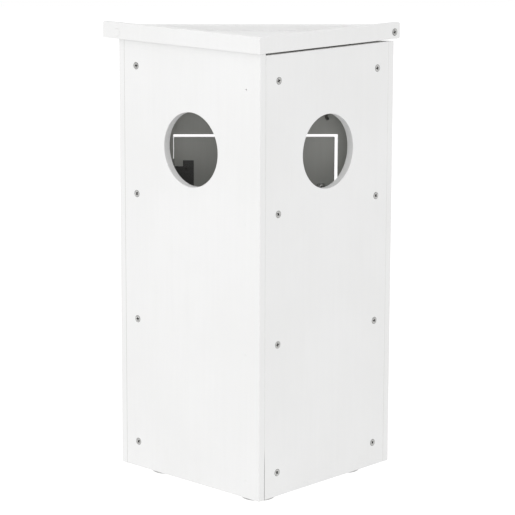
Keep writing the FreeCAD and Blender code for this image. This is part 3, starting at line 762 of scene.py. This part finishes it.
class Finish(Enum):
    """The finishes by the record's slots, with the recipe that makes each."""

    WHITE_PAINT = WhitePaint()
    PAINTED_TIMBER = PaintedTimber()
    ZINC_SCREW = Metal("zinc_screw", (0.54, 0.54, 0.53, 1.0), (0.36, 0.36, 0.35, 1.0),
                       (0.74, 0.74, 0.72, 1.0), 0.9, 0.32, 0.48)
    STEEL_PIN = Metal("steel_pin", (0.40, 0.39, 0.38, 1.0), (0.24, 0.23, 0.22, 1.0),
                      (0.55, 0.54, 0.52, 1.0), 0.95, 0.3, 0.5)
    BLACK_HINGE = Metal("black_hinge", (0.088, 0.088, 0.086, 1.0), (0.058, 0.058, 0.056, 1.0),
                        (0.10, 0.10, 0.10, 1.0), 0.25, 0.42, 0.6, 1100.0)
    FELT_PAD = Felt()
    BEECH_KNOB = Beech()

    @classmethod
    def of_node(cls, node: str) -> "Finish":
        """The finish that the record's slot for a CAD node names."""
        slot = next(part["material_slot"] for part in frame["record"]["subparts"]
                    if part["node"] == node)
        return cls[slot.upper()]


MADE: dict[Finish, bpy.types.Material] = {}


def dressed(piece: bpy.types.Object, finish: Finish) -> bpy.types.Object:
    """Gives a piece one finish, made on first use.

    Args:
        piece: the piece.
        finish: its finish.
    Returns:
        The same piece.
    """
    if finish not in MADE:
        MADE[finish] = finish.value.made()
    piece.data.materials.clear()
    piece.data.materials.append(MADE[finish])
    return piece


# --- shapes that several sub-assemblies share ---------------------------------------------------
@dataclass(frozen=True)
class Arris:
    """How far an edge is rounded over, and in how many steps."""

    width: float
    steps: int = 3
    flat: float = math.radians(1.0)
    sharp: float = math.radians(33.0)

    def soften(self, piece: bpy.types.Object) -> bpy.types.Object:
        """Joins the flat triangles of a piece into whole faces and rounds its sharp edges.

        Args:
            piece: a closed piece with smooth faces.
        Returns:
            The same piece, with a bevel and normals weighted by face.
        """
        edit = bmesh.new()
        edit.from_mesh(piece.data)
        bmesh.ops.dissolve_limit(edit, angle_limit=self.flat, verts=edit.verts, edges=edit.edges)
        edit.to_mesh(piece.data)
        edit.free()
        bevel = piece.modifiers.new("arris", "BEVEL")
        bevel.width, bevel.segments = self.width, self.steps
        bevel.limit_method, bevel.angle_limit = "ANGLE", self.sharp
        bevel.use_clamp_overlap, bevel.harden_normals = False, False
        normals = piece.modifiers.new("flat_faces", "WEIGHTED_NORMAL")
        normals.keep_sharp = True
        return piece


def smooth_line(points: Sequence[tuple[float, float]], steps: int) -> Array:
    """A smooth line through points: on each run, the cubic whose slope at a point is half the
    step between its neighbours.

    Args:
        points: the points, radius first.
        steps: stations on each run.
    Returns:
        The stations, both ends among them.
    """
    spots = np.array([points[0], *points, points[-1]], float)
    t = np.linspace(0.0, 1.0, steps, endpoint=False)[None, :, None]
    a, b, c, d = (spots[k:len(spots) - 3 + k][:, None, :] for k in range(4))
    line = 0.5 * (2 * b + (c - a) * t + (2 * a - 5 * b + 4 * c - d) * t ** 2
                  + (3 * b - a - 3 * c + d) * t ** 3)
    return np.concatenate([line.reshape(-1, 2), spots[-1:]])


@dataclass(frozen=True)
class CrossRecess:
    """The cross-shaped recess that a driver fits, tapering to its floor."""

    arm: float
    half_width: float
    depth: float
    slope: float = 0.22 * MM
    root: float = 1.15
    taper: float = 0.4
    floor: float = 0.55

    def sunk(self, across: Array, up: Array, turn: float) -> Array:
        """The depth of two crossed arms: each falls linearly from its sides and its ends.

        Args:
            across: one coordinate on the head.
            up: the other.
            turn: the angle that the cross is turned to.
        Returns:
            The depth at each point: depth * side * end, of the deeper arm.
        """
        first = across * math.cos(turn) + up * math.sin(turn)
        second = up * math.cos(turn) - across * math.sin(turn)
        arms = []
        for along, beside in ((first, second), (second, first)):
            width = self.half_width * (self.root - self.taper * np.abs(along) / self.arm)
            side = np.clip((width - np.abs(beside)) / self.slope, 0.0, 1.0)
            end = np.clip((self.arm - np.abs(along)) / ((1.0 - self.floor) * self.arm), 0.0, 1.0)
            arms.append(self.depth * side * end)
        return np.maximum(arms[0], arms[1])


@dataclass(frozen=True)
class Screw:
    """What both kinds of wood screw share: the head's top at Y = 0 and the point along +Y."""

    head: float
    shank: float
    length: float
    point: float = 4.0 * MM
    pitch: float = 1.7 * MM
    groove: float = 0.32
    sides: int = 56

    def formed(self, radii: Array, along: Array, top: int, recess: CrossRecess,
               turn: float) -> Surface:
        """Carries a head on into its thread and point, and sinks the recess into its top.

        The thread's radius is shank * (1 - groove * (1 - ridge^2)), where ridge is the triangle
        wave of distance / pitch - angle / turn.

        Args:
            radii: the head's radii, from the middle of its top to the shank.
            along: the distance along the axis at each of them.
            top: how many of them, from the first, the recess can reach.
            recess: the cross recess.
            turn: the angle that it is turned to.
        Returns:
            The screw.
        """
        thread = np.arange(along[-1], self.length - self.point, self.pitch / 7)[1:]
        point = np.linspace(self.length - self.point, self.length, 16)
        station = np.arange(len(along) + len(thread) + len(point))[:, None]
        threaded = station >= len(along)
        along = np.concatenate([along, thread, point])
        ends = np.concatenate([radii, np.full(len(thread), self.shank),
                               self.shank * (self.length - point) / self.point])[:, None]
        angle = np.linspace(0.0, 2.0 * math.pi, self.sides, endpoint=False)
        phase = along[:, None] / self.pitch - angle / (2.0 * math.pi)
        ridge = 1.0 - 2.0 * np.abs(phase % 1.0 - 0.5)
        radius = np.where(threaded, ends * (1.0 - self.groove * (1.0 - ridge ** 2)), ends)
        sunk = recess.sunk(radius * np.cos(angle), radius * np.sin(angle), turn)
        return Surface.turned(radius, along, np.where(station < top, sunk, 0.0))


@dataclass(frozen=True)
class CountersunkScrew(Screw):
    """A countersunk wood screw, with a painted shadow ring round its head."""

    lip: float = 0.22 * MM
    # painted shadow ring round the head: where it starts, how it fades, and how dark it is
    shade_ring: float = 0.86
    shade_ring_fade: float = 0.08
    shade_ring_depth: float = 0.3

    def surface(self, turn: float) -> Surface:
        """Head disc, rounded lip and 45 degree cone, then thread and point.

        Args:
            turn: the angle of the cross recess.
        Returns:
            The screw.
        """
        disc = np.linspace(0.0, self.head - self.lip, 19)
        curl = np.linspace(0.0, math.pi / 2, 5)[1:]
        cone = np.linspace(self.lip, self.head - self.shank, 4)[1:]
        radii = np.concatenate([disc, self.head - self.lip + self.lip * np.sin(curl),
                                self.head + self.lip - cone])
        along = np.concatenate([disc * 0.0, self.lip * (1.0 - np.cos(curl)), cone])
        recess = CrossRecess(0.60 * self.head, 0.17 * self.head, 0.45 * self.head)
        made = self.formed(radii, along, len(disc), recess, turn)
        # painted shadow: a dark ring round the head's rim, added to the recess mark
        out = np.hypot(made.points[:, 0], made.points[:, 2]) / self.head
        shade_ring = np.clip((out - self.shade_ring) / self.shade_ring_fade, 0.0, 1.0) * self.shade_ring_depth
        return Surface(made.points, made.faces, np.maximum(made.recess, shade_ring))


@dataclass(frozen=True)
class RoundHeadScrew(Screw):
    """A round-head wood screw."""

    height: float = 2.6 * MM

    def surface(self, turn: float) -> Surface:
        """A quarter-ellipse head with a cross recess and a flat seat, then thread and point.

        Args:
            turn: the angle of the cross recess.
        Returns:
            The screw.
        """
        bend = np.linspace(0.0, math.pi / 2, 22)
        seat = np.linspace(self.head, self.shank, 4)[1:]
        radii = np.concatenate([self.head * np.sin(bend), seat])
        along = np.concatenate([self.height * (1.0 - np.cos(bend)),
                                np.full(len(seat), self.height)])
        recess = CrossRecess(0.55 * self.head, 0.125 * self.head, 0.55 * self.height)
        return self.formed(radii, along, len(bend), recess, turn)


def rounded_rod(radius: float, length: float, rounding: float = 0.5 * MM,
                sides: int = 48) -> Surface:
    """A rod along +Y whose end discs meet its side in quarter circles.

    Args:
        radius: the rod's radius.
        length: its length, ends included.
        rounding: the quarter circles' radius.
        sides: points round the rod.
    Returns:
        The closed rod.
    """
    curl = np.linspace(0.0, math.pi / 2, 7)
    inner = np.linspace(0.0, radius - rounding, 6)[:-1]
    near_radius = np.concatenate([inner, radius - rounding + rounding * np.sin(curl)])
    near_along = np.concatenate([inner * 0.0, rounding * (1.0 - np.cos(curl))])
    ends = np.concatenate([near_radius, near_radius[::-1]])
    along = np.concatenate([near_along, length - near_along[::-1]])
    return Surface.turned(np.repeat(ends[:, None], sides, axis=1), along)


def washer_ring(bore: float, rim: float, thickness: float, sides: int = 64) -> Surface:
    """A washer about +Y from Y = 0: a section with rounded corners carried round the axis.

    The section is a superellipse: half-sizes times cos and sin, each to the power 0.35.

    Args:
        bore: the bore's radius.
        rim: the rim's radius.
        thickness: its thickness.
        sides: points round the axis.
    Returns:
        The closed ring.
    """
    turn = np.linspace(0.0, 2.0 * math.pi, 24, endpoint=False)
    wide = np.sign(np.cos(turn)) * np.abs(np.cos(turn)) ** 0.35
    deep = np.sign(np.sin(turn)) * np.abs(np.sin(turn)) ** 0.35
    radius = (rim + bore) / 2 + (rim - bore) / 2 * wide
    along = thickness / 2 * (1.0 + deep)
    angle = np.linspace(0.0, 2.0 * math.pi, sides, endpoint=False)[:, None]
    grid = np.stack([radius * np.cos(angle), np.broadcast_to(along, (sides, 24)),
                     radius * np.sin(angle)], axis=-1)
    return Surface.ring(grid)


@dataclass(frozen=True)
class Hub:
    """One fastener's place: the middle of its head, that head's radius, and its length."""

    spot: Array
    radius: float
    length: float


def hubs(node: str, face: Face, way: Way, spread: float = 12.0 * MM) -> list[Hub]:
    """Finds the fasteners of a node whose heads lie furthest back along their axis.

    Args:
        node: the CAD node, with one solid for each fastener.
        face: the face whose frame they are measured in.
        way: which way they point.
        spread: more than a head's diameter and less than the distance between two.
    Returns:
        One hub for each fastener, lowest first.
    """
    points = face.measure(cad_points(node))
    axis, sign = {Way.INWARD: (1, 1.0), Way.OUTWARD: (1, -1.0), Way.UPWARD: (2, 1.0)}[way]
    depth = points[:, axis] * sign
    head = points[depth < depth.min() + 0.05 * MM]
    length = np.ptp(points[:, axis]) if len(head) else 0.0
    found = []
    while len(head):
        near = np.linalg.norm(head - head[0], axis=1) < spread
        low, high = head[near].min(axis=0), head[near].max(axis=0)
        found.append(Hub((low + high) / 2, float(high[0] - low[0]) / 2, float(length)))
        head = head[~near]
    return sorted(found, key=lambda hub: (hub.spot[2], hub.spot[0]))


GOLDEN = 2.399963  # the golden angle in radians: no two crosses come out alike
SHANK_SHARE = 0.482  # of a countersunk head's radius
POINT_SHARE = 0.21  # of a countersunk screw's length


def screws(name: str, node: str, groups: Sequence[tuple[Face, Way]],
           length: float) -> bpy.types.Object:
    """Makes one piece of a node's countersunk screws, each with its cross turned its own way.

    Args:
        name: the piece's name.
        node: the CAD node.
        groups: the face and direction of each set of its screws.
        length: one screw's length.
    Returns:
        The piece.
    """
    made = []
    for face, way in groups:
        for hub in hubs(node, face, way):
            screw = CountersunkScrew(hub.radius, SHANK_SHARE * hub.radius, length,
                                     POINT_SHARE * length)
            made.append(screw.surface(GOLDEN * (len(made) + 1)).placed(face, hub.spot, way))
    return Surface.joined(made).piece(name)


@dataclass
class SubAssembly:
    """What every sub-assembly has: the plan, the body it rides on, and its finished pieces."""

    plan: Plan
    body: str = "carcass"
    pieces: list[bpy.types.Object] = field(default_factory=list)

    def settle(self, piece: bpy.types.Object, *nodes: str,
               finish: Finish | None = None) -> bpy.types.Object:
        """Lets a piece stand for its CAD nodes, ride on the body and wear its finish.

        Args:
            piece: the finished piece.
            nodes: the CAD nodes that it stands for, if any.
            finish: its finish, where it isn't that of its first node.
        Returns:
            The same piece.
        """
        if nodes:
            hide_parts(*nodes)
        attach(piece, self.body)
        dressed(piece, finish or Finish.of_node(nodes[0]))
        self.pieces.append(piece)
        LOG.info("%s rides on %s as %s", piece.name, self.body, piece.data.materials[0].name)
        return piece

    def board(self, node: str, arris: Arris) -> bpy.types.Object:
        """A CAD board with softened arrises, whose indoor faces are marked for the painted shade.
        """
        made = arris.soften(Surface.of_nodes([node]).piece(f"finished_{node}"))
        middles = np.empty(len(made.data.polygons) * 3, np.float32)
        made.data.polygons.foreach_get("center", middles)
        # mark the indoor faces, which the finishes paint darker as shade
        marks = made.data.attributes.new("indoors", "FLOAT", "FACE")
        marks.data.foreach_set("value", self.plan.indoors(middles.reshape(-1, 3)))
        return self.settle(made, node)


    def screw_rows(self, node: str, length: float, *groups: tuple[Face, Way]) -> None:
        """A node's countersunk screws, each group on its own face."""
        self.settle(screws(f"finished_{node}", node, groups, length), node)

    def stand(self, node: str, shaped: Callable[[float, float], Surface]) -> None:
        """Stands a round piece on end where its CAD node is.

        Args:
            node: the CAD node.
            shaped: makes the piece along +Y from its radius and its height.
        """
        low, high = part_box(node)
        shape = shaped((high.x - low.x) / 2, high.z - low.z)
        middle = np.array([(low.x + high.x) / 2, (low.y + high.y) / 2, low.z])
        made = Surface(Way.UPWARD.aim(shape.points) + middle, shape.faces)
        self.settle(made.piece(f"finished_{node}"), node)

    def round_head_fixing(self, stem: str, way: Way, turn: float) -> None:
        """A round-head screw through the rear face's plane, and the washer under its head.

        Args:
            stem: what the names of the two nodes start with.
            way: which way the screw points.
            turn: the angle of its cross recess.
        """
        back = self.plan.back()
        hub = hubs(f"{stem}_screw", back, way)[0]
        shape = RoundHeadScrew(4.2 * MM, 2.0 * MM, hub.length).surface(turn)
        self.settle(shape.placed(back, hub.spot, way).piece(f"finished_{stem}_screw"),
                    f"{stem}_screw")
        hub = hubs(f"{stem}_washer", back, way)[0]
        ring = washer_ring(2.05 * MM, hub.radius, hub.length)
        self.settle(ring.placed(back, hub.spot, way).piece(f"finished_{stem}_washer"),
                    f"{stem}_washer")


# --- the carcass --------------------------------------------------------------------------------
@dataclass
class Carcass(SubAssembly):
    """The triangular box: two front panels, the rear panel, floor, battens, fixings and pads."""

    ply: Arris = Arris(0.5 * MM)
    batten: Arris = Arris(1.0 * MM)
    leaf: Arris = Arris(0.22 * MM)
    screw_length: float = 19.0 * MM
    leaf_screw_length: float = 5.6 * MM
    filler_radius: float = 2.1 * MM
    pin_fillers: tuple[int, ...] = (0, 1, 2)

    def boards(self) -> None:
        """The panels, the floor and the battens behind the three corners."""
        for node in ("left_panel", "right_panel", "rear_panel", "floor_board"):
            self.board(node, self.ply)
        for node in ("front_corner_batten", "right_rear_batten", "left_rear_batten"):
            self.board(node, self.batten)

    def fixings(self) -> None:
        """The rows of screws up the corners, those under the floor, and the pins."""
        left, right, back = self.plan.left(), self.plan.right(), self.plan.back()
        rows = {"left_panel_screws": (left, Way.INWARD),
                "right_panel_rear_screws": (right, Way.INWARD),
                "right_panel_front_screws": (right, Way.INWARD),
                "rear_panel_screws": (back, Way.INWARD), "floor_screws": (right, Way.UPWARD)}
        for node, place in rows.items():
            self.screw_rows(node, self.screw_length, place)
        pins = [rounded_rod(hub.radius, hub.length, 0.3 * hub.radius, 24).placed(left, hub.spot)
                for hub in hubs("left_panel_pins", left, Way.INWARD)]
        self.settle(Surface.joined(pins).piece("finished_left_panel_pins"), "left_panel_pins")

    def fillers(self) -> None:
        """Painted-over filler in the pin holes that were stopped: low domes on the face."""
        left = self.plan.left()
        places = hubs("left_panel_pins", left, Way.INWARD)
        made = [filler_spot(left, places[row].spot * ON_FACE, self.filler_radius, 0.9 * row)
                for row in self.pin_fillers]
        self.settle(Surface.joined(made).piece("pin_fillers"), finish=Finish.WHITE_PAINT)

    def hinge_halves(self) -> None:
        """The leaves on the rear panel, their pins and their screws."""
        for name in ("upper", "lower"):
            self.board(f"{name}_hinge_frame_leaf", self.leaf)
            self.stand(f"{name}_hinge_pin", rounded_rod)
        self.screw_rows("hinge_frame_screws", self.leaf_screw_length,
                        (self.plan.back(), Way.INWARD))

    def pads(self) -> None:
        """The felt discs under the floor: a pressed edge and a face that rises and dips."""
        for name in ("front", "right_rear", "left_rear"):
            self.stand(f"{name}_base_pad", felt_disc)

    def build(self) -> None:
        """Builds and dresses the whole carcass."""
        self.boards()
        self.fixings()
        self.fillers()
        self.hinge_halves()
        self.pads()
        self.round_head_fixing("turn_button", Way.INWARD, 0.6)


ON_FACE = np.array([1.0, 0.0, 1.0])  # keeps a spot's across and up, and brings it to the face


def filler_spot(face: Face, spot: Array, radius: float, turn: float) -> Surface:
    """A low dome of filler: radius * (1 + 0.08 sin 3a), rising 0.12 mm by cos of the distance.

    Args:
        face: the face that it sits on.
        spot: its middle, in the face's frame.
        radius: its mean radius.
        turn: turns its uneven outline.
    Returns:
        The closed dome, sunk a little into the face.
    """
    rise, sunk, sides, rings = 0.12 * MM, 0.4 * MM, 40, 8
    share = np.linspace(0.0, 1.0, rings)
    angle = np.linspace(0.0, 2.0 * math.pi, sides, endpoint=False)
    edge = radius * (1.0 + 0.08 * np.sin(3.0 * angle + turn))
    top = share[:, None] * edge
    along = np.concatenate([-rise * np.cos(share * math.pi / 2), np.full(rings, sunk)])
    return Surface.turned(np.concatenate([top, top[::-1]]), along).placed(face, spot)


def felt_disc(radius: float, height: float, sides: int = 120) -> Surface:
    """A felt disc along +Y from Y = 0: its edge bulges by sin of its height, and is ragged.

    Args:
        radius: the disc's outer radius.
        height: its thickness.
        sides: points round the edge.
    Returns:
        The closed disc.
    """
    angle = np.linspace(0.0, 2.0 * math.pi, sides, endpoint=False)
    ragged = 1.0 - 0.006 * (1.0 + np.sin(17.0 * angle) * np.sin(5.0 * angle + 1.0))
    share = np.linspace(0.0, 1.0, 9)
    flat = 0.93
    inner = np.linspace(0.0, flat, 14)[:-1]
    bulge = flat + (1.0 - flat) * np.sin(math.pi * np.clip(share, 0.02, 0.98)) ** 0.5
    profile = np.concatenate([inner, bulge, inner[::-1]])
    rise = np.concatenate([inner * 0.0, share, inner * 0.0 + 1.0]) * height
    return Surface.turned(radius * profile[:, None] * ragged, rise)


# --- the rear door ------------------------------------------------------------------------------
@dataclass
class RearDoor(SubAssembly):
    """The plywood door, its hinge leaves and screws, and the turned knob."""

    body: str = "door"
    ply: Arris = Arris(0.5 * MM)
    leaf: Arris = Arris(0.22 * MM)
    leaf_screw_length: float = 5.6 * MM
    knob_steps: int = 9
    knob_line: tuple[tuple[float, float], ...] = (
        (0.0, 0.0), (0.54, 0.0), (0.545, 0.05), (0.43, 0.30), (0.72, 0.46), (0.985, 0.62),
        (0.97, 0.80), (0.66, 0.955), (0.0, 1.0))

    def panel(self) -> None:
        """The door and the leaves that wrap its edge."""
        self.board("door_panel", self.ply)
        for name in ("upper", "lower"):
            self.board(f"{name}_hinge_door_leaf", self.leaf)
        self.screw_rows("hinge_door_screws", self.leaf_screw_length,
                        (self.plan.back(), Way.OUTWARD))

    def knob(self) -> None:
        """The turned knob: a smooth line through foot, waist, shoulder, belly and brow."""
        back = self.plan.back()
        low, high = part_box("door_knob")
        belly, length = (high.x - low.x) / 2, high.y - low.y
        line = smooth_line([(out * belly, along * length) for out, along in self.knob_line],
                           self.knob_steps)
        line[:, 0] = np.clip(line[:, 0], 0.0, belly)
        line[:, 1] = np.clip(line[:, 1], 0.0, length)
        line[[0, -1], 0] = 0.0
        shape = Surface.turned(np.repeat(line[:, :1], 72, axis=1), line[:, 1])
        spot = back.measure(np.array([(low.x + high.x) / 2, high.y, (low.z + high.z) / 2]))
        spot = spot - np.array([0.0, spot[1] - back.measure(np.array([0.0, low.y, 0.0]))[1], 0.0])
        self.settle(shape.placed(back, spot, Way.OUTWARD).piece("finished_door_knob"), "door_knob")

    def build(self) -> None:
        """Builds and dresses the whole door."""
        self.panel()
        self.knob()
        self.round_head_fixing("door_knob", Way.OUTWARD, 1.1)


# --- the turn button ----------------------------------------------------------------------------
@dataclass
class TurnButton(SubAssembly):
    """The button that holds the door shut: a flat bar with round ends and a pivot hole."""

    body: str = "turn_button"
    bore: float = 2.08 * MM
    rounding: float = 1.3 * MM

    def build(self) -> None:
        """Builds the bar: from the bore out to the outline, over a rounded edge, and back.

        The outline is the set of points at half the width from the bar's middle line. A section
        goes bore, top, quarter circle, side, quarter circle, underside, back to the bore.
        """
        back = self.plan.back()
        low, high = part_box("turn_button")
        pivot = hubs("turn_button_washer", back, Way.INWARD)[0].spot
        local = back.measure(np.array([[low.x, low.y, low.z], [high.x, high.y, high.z]]))
        start, stop = local[:, 0].min(), local[:, 0].max()
        half = (high.z - low.z) / 2
        sides = 96
        angle = np.linspace(0.0, 2.0 * math.pi, sides, endpoint=False)
        across = half * np.cos(angle)
        across = across + np.where(across > 0, stop - half, start + half) - pivot[0]
        up = half * np.sin(angle)
        outward = np.stack([np.cos(angle), np.sin(angle)], axis=-1)
        outline = np.stack([across, up], axis=-1)
        curl = np.linspace(0.0, math.pi / 2, 5)
        inner = self.bore * outward
        thickness = high.y - low.y
        edge = outline - self.rounding * outward
        rows = [(inner, thickness), (inner, 0.0)]
        rows += [(inner + (edge - inner) * share, 0.0) for share in (0.06, 0.3, 0.65)]
        rows += [(edge + self.rounding * math.sin(turn) * outward,
                  self.rounding * (1.0 - math.cos(turn))) for turn in curl]
        rows += [(edge + self.rounding * math.cos(turn) * outward,
                  thickness - self.rounding * (1.0 - math.sin(turn))) for turn in curl]
        rows += [(inner + (edge - inner) * share, thickness) for share in (0.65, 0.3, 0.06)]
        grid = np.stack([np.column_stack([row[:, 0], np.full(sides, depth), row[:, 1]])
                         for row, depth in rows])
        grid = grid + np.array([pivot[0], local[:, 1].min(), pivot[2]])
        shape = Surface.ring(back.place(grid))
        self.settle(shape.piece("finished_turn_button"), "turn_button")


# --- the lid ------------------------------------------------------------------------------------
@dataclass
class TrayLid(SubAssembly):
    """The lift-off lid: a board inside two mitred rims and a rear rail, located by cleats."""

    body: str = "lid"
    rims: Arris = Arris(1.4 * MM, 4)
    rail: Arris = Arris(1.2 * MM)
    ply: Arris = Arris(0.5 * MM)
    rail_screw_length: float = 15.0 * MM
    cleat_screw_length: float = 17.0 * MM
    filler_radius: float = 4.6 * MM

    def build(self) -> None:
        """Builds and dresses the lid: its rims are one piece, glued and painted at the mitre."""
        left, right = self.plan.left(), self.plan.right()
        rims = Surface.of_nodes(["lid_left_rim", "lid_right_rim"]).piece("finished_lid_rims")
        self.settle(self.rims.soften(rims), "lid_left_rim", "lid_right_rim")
        self.board("lid_rear_rail", self.rail)
        for node in ("lid_board", "lid_left_cleat", "lid_right_cleat"):
            self.board(node, self.ply)
        self.screw_rows("lid_rail_screws", self.rail_screw_length,
                        (left, Way.INWARD), (right, Way.INWARD))
        self.screw_rows("lid_cleat_screws", self.cleat_screw_length, (right, Way.UPWARD))
        hub = hubs("lid_rail_screws", left, Way.INWARD)[0]
        self.settle(filler_spot(left, hub.spot, self.filler_radius, 0.4)
                    .piece("rim_screw_filler"), finish=Finish.WHITE_PAINT)


# --- floor, lights and camera -------------------------------------------------------------------
@dataclass
class Studio:
    """A plain pale floor, soft white light from all round, and the camera."""

    plan: Plan
    surround: float = 1.0
    bounce: float = 0.81
    floor_size: float = 12.0
    floor_grey: float = 0.3
    floor_rough: float = 0.9
    floor_glow: float = 0.85
    lamp_aim: float = 0.27
    lens: float = 154.16
    azimuth: float = math.radians(-1.567)
    elevation: float = math.radians(10.7)
    distance: float = 2.4276
    roll: float = math.radians(0.19)
    aim_across: float = -2.6 * MM
    aim_level: float = 329.8 * MM
    rise: float = -0.0777

    def floor(self) -> None:
        """The floor: a pale sheet under everything, lit a little from within."""
        half = self.floor_size / 2
        mesh = bpy.data.meshes.new("floor")
        mesh.from_pydata([(-half, -half, 0.0), (half, -half, 0.0), (half, half, 0.0),
                          (-half, half, 0.0)], [], [(0, 1, 2, 3)])
        sheet = bpy.data.objects.new("floor", mesh)
        bpy.context.scene.collection.objects.link(sheet)
        material = bpy.data.materials.new("floor_paper")
        material.use_nodes = True
        shader = material.node_tree.nodes["Principled BSDF"]
        looks = {"Base Color": (*(self.floor_grey,) * 3, 1.0), "Roughness": self.floor_rough,
                 "Emission Color": WHITE, "Emission Strength": self.floor_glow}
        for label, value in looks.items():
            shader.inputs[label].default_value = value
        mesh.materials.append(material)

    def lamp(self, name: str, spot: tuple[float, float, float], size: float,
             power: float) -> None:
        """One square soft light, aimed at the middle of the box.

        Args:
            name: the light's name.
            spot: where it hangs, in metres.
            size: its side.
            power: its power in watts.
        """
        light = bpy.data.lights.new(name, "AREA")
        light.energy, light.size = power, size
        lamp = bpy.data.objects.new(name, light)
        lamp.location = spot
        aim = Vector(spot) - Vector((self.plan.centre, 0.0, self.lamp_aim))
        lamp.rotation_euler = aim.to_track_quat("Z", "Y").to_euler()
        bpy.context.scene.collection.objects.link(lamp)

    def lights(self) -> None:
        """White surroundings, a large key light at the left front, softboxes above and ahead."""
        world = bpy.data.worlds.new("surroundings")
        world.use_nodes = True
        wire = Wiring(world.node_tree)
        seen = wire.add("LightPath").outputs["Is Camera Ray"]
        strength = wire.sum_of("ADD", wire.sum_of("MULTIPLY", seen, self.surround - self.bounce),
                               self.bounce)
        backdrop = world.node_tree.nodes["Background"].inputs
        wire.join(strength, backdrop["Strength"])
        backdrop["Color"].default_value = WHITE
        bpy.context.scene.world = world
        self.lamp("key", (-2.6, -1.9, 1.7), 1.5, 13.0)
        self.lamp("overhead", (-0.2, -0.9, 2.5), 1.6, 14.0)
        self.lamp("front", (0.2, -2.4, 1.6), 0.9, 5.5)

    def camera(self) -> None:
        """The camera: a long lens in front of the corner, a little above it."""
        corner = np.array([self.plan.centre, self.plan.rear - self.plan.half, 0.0])
        target = Vector((corner[0] + self.aim_across, corner[1], self.aim_level))
        back = Vector((math.sin(self.azimuth) * math.cos(self.elevation),
                       -math.cos(self.azimuth) * math.cos(self.elevation),
                       math.sin(self.elevation)))
        lens = bpy.data.cameras.new("camera")
        lens.lens, lens.sensor_width, lens.shift_y = self.lens, 36.0, self.rise
        lens.clip_start, lens.clip_end = 0.1, 50.0
        camera = bpy.data.objects.new("camera", lens)
        camera.location = target + back * self.distance
        turn = back.to_track_quat("Z", "Y").to_matrix() @ Matrix.Rotation(self.roll, 3, "Z")
        camera.rotation_euler = turn.to_euler()
        bpy.context.scene.collection.objects.link(camera)
        bpy.context.scene.camera = camera

    def build(self) -> None:
        """Sets the studio up and keeps the display plain."""
        self.floor()
        self.lights()
        self.camera()
        bpy.context.scene.view_settings.view_transform = "Standard"


def main() -> None:
    logging.basicConfig(level=logging.INFO, format="%(message)s")
    plan = Plan.from_frame()
    for part in (Carcass(plan), RearDoor(plan), TurnButton(plan), TrayLid(plan)):
        part.build()
        LOG.info("%s: %d pieces", type(part).__name__, len(part.pieces))
    Studio(plan).build()


if __name__ == "__main__":
    main()
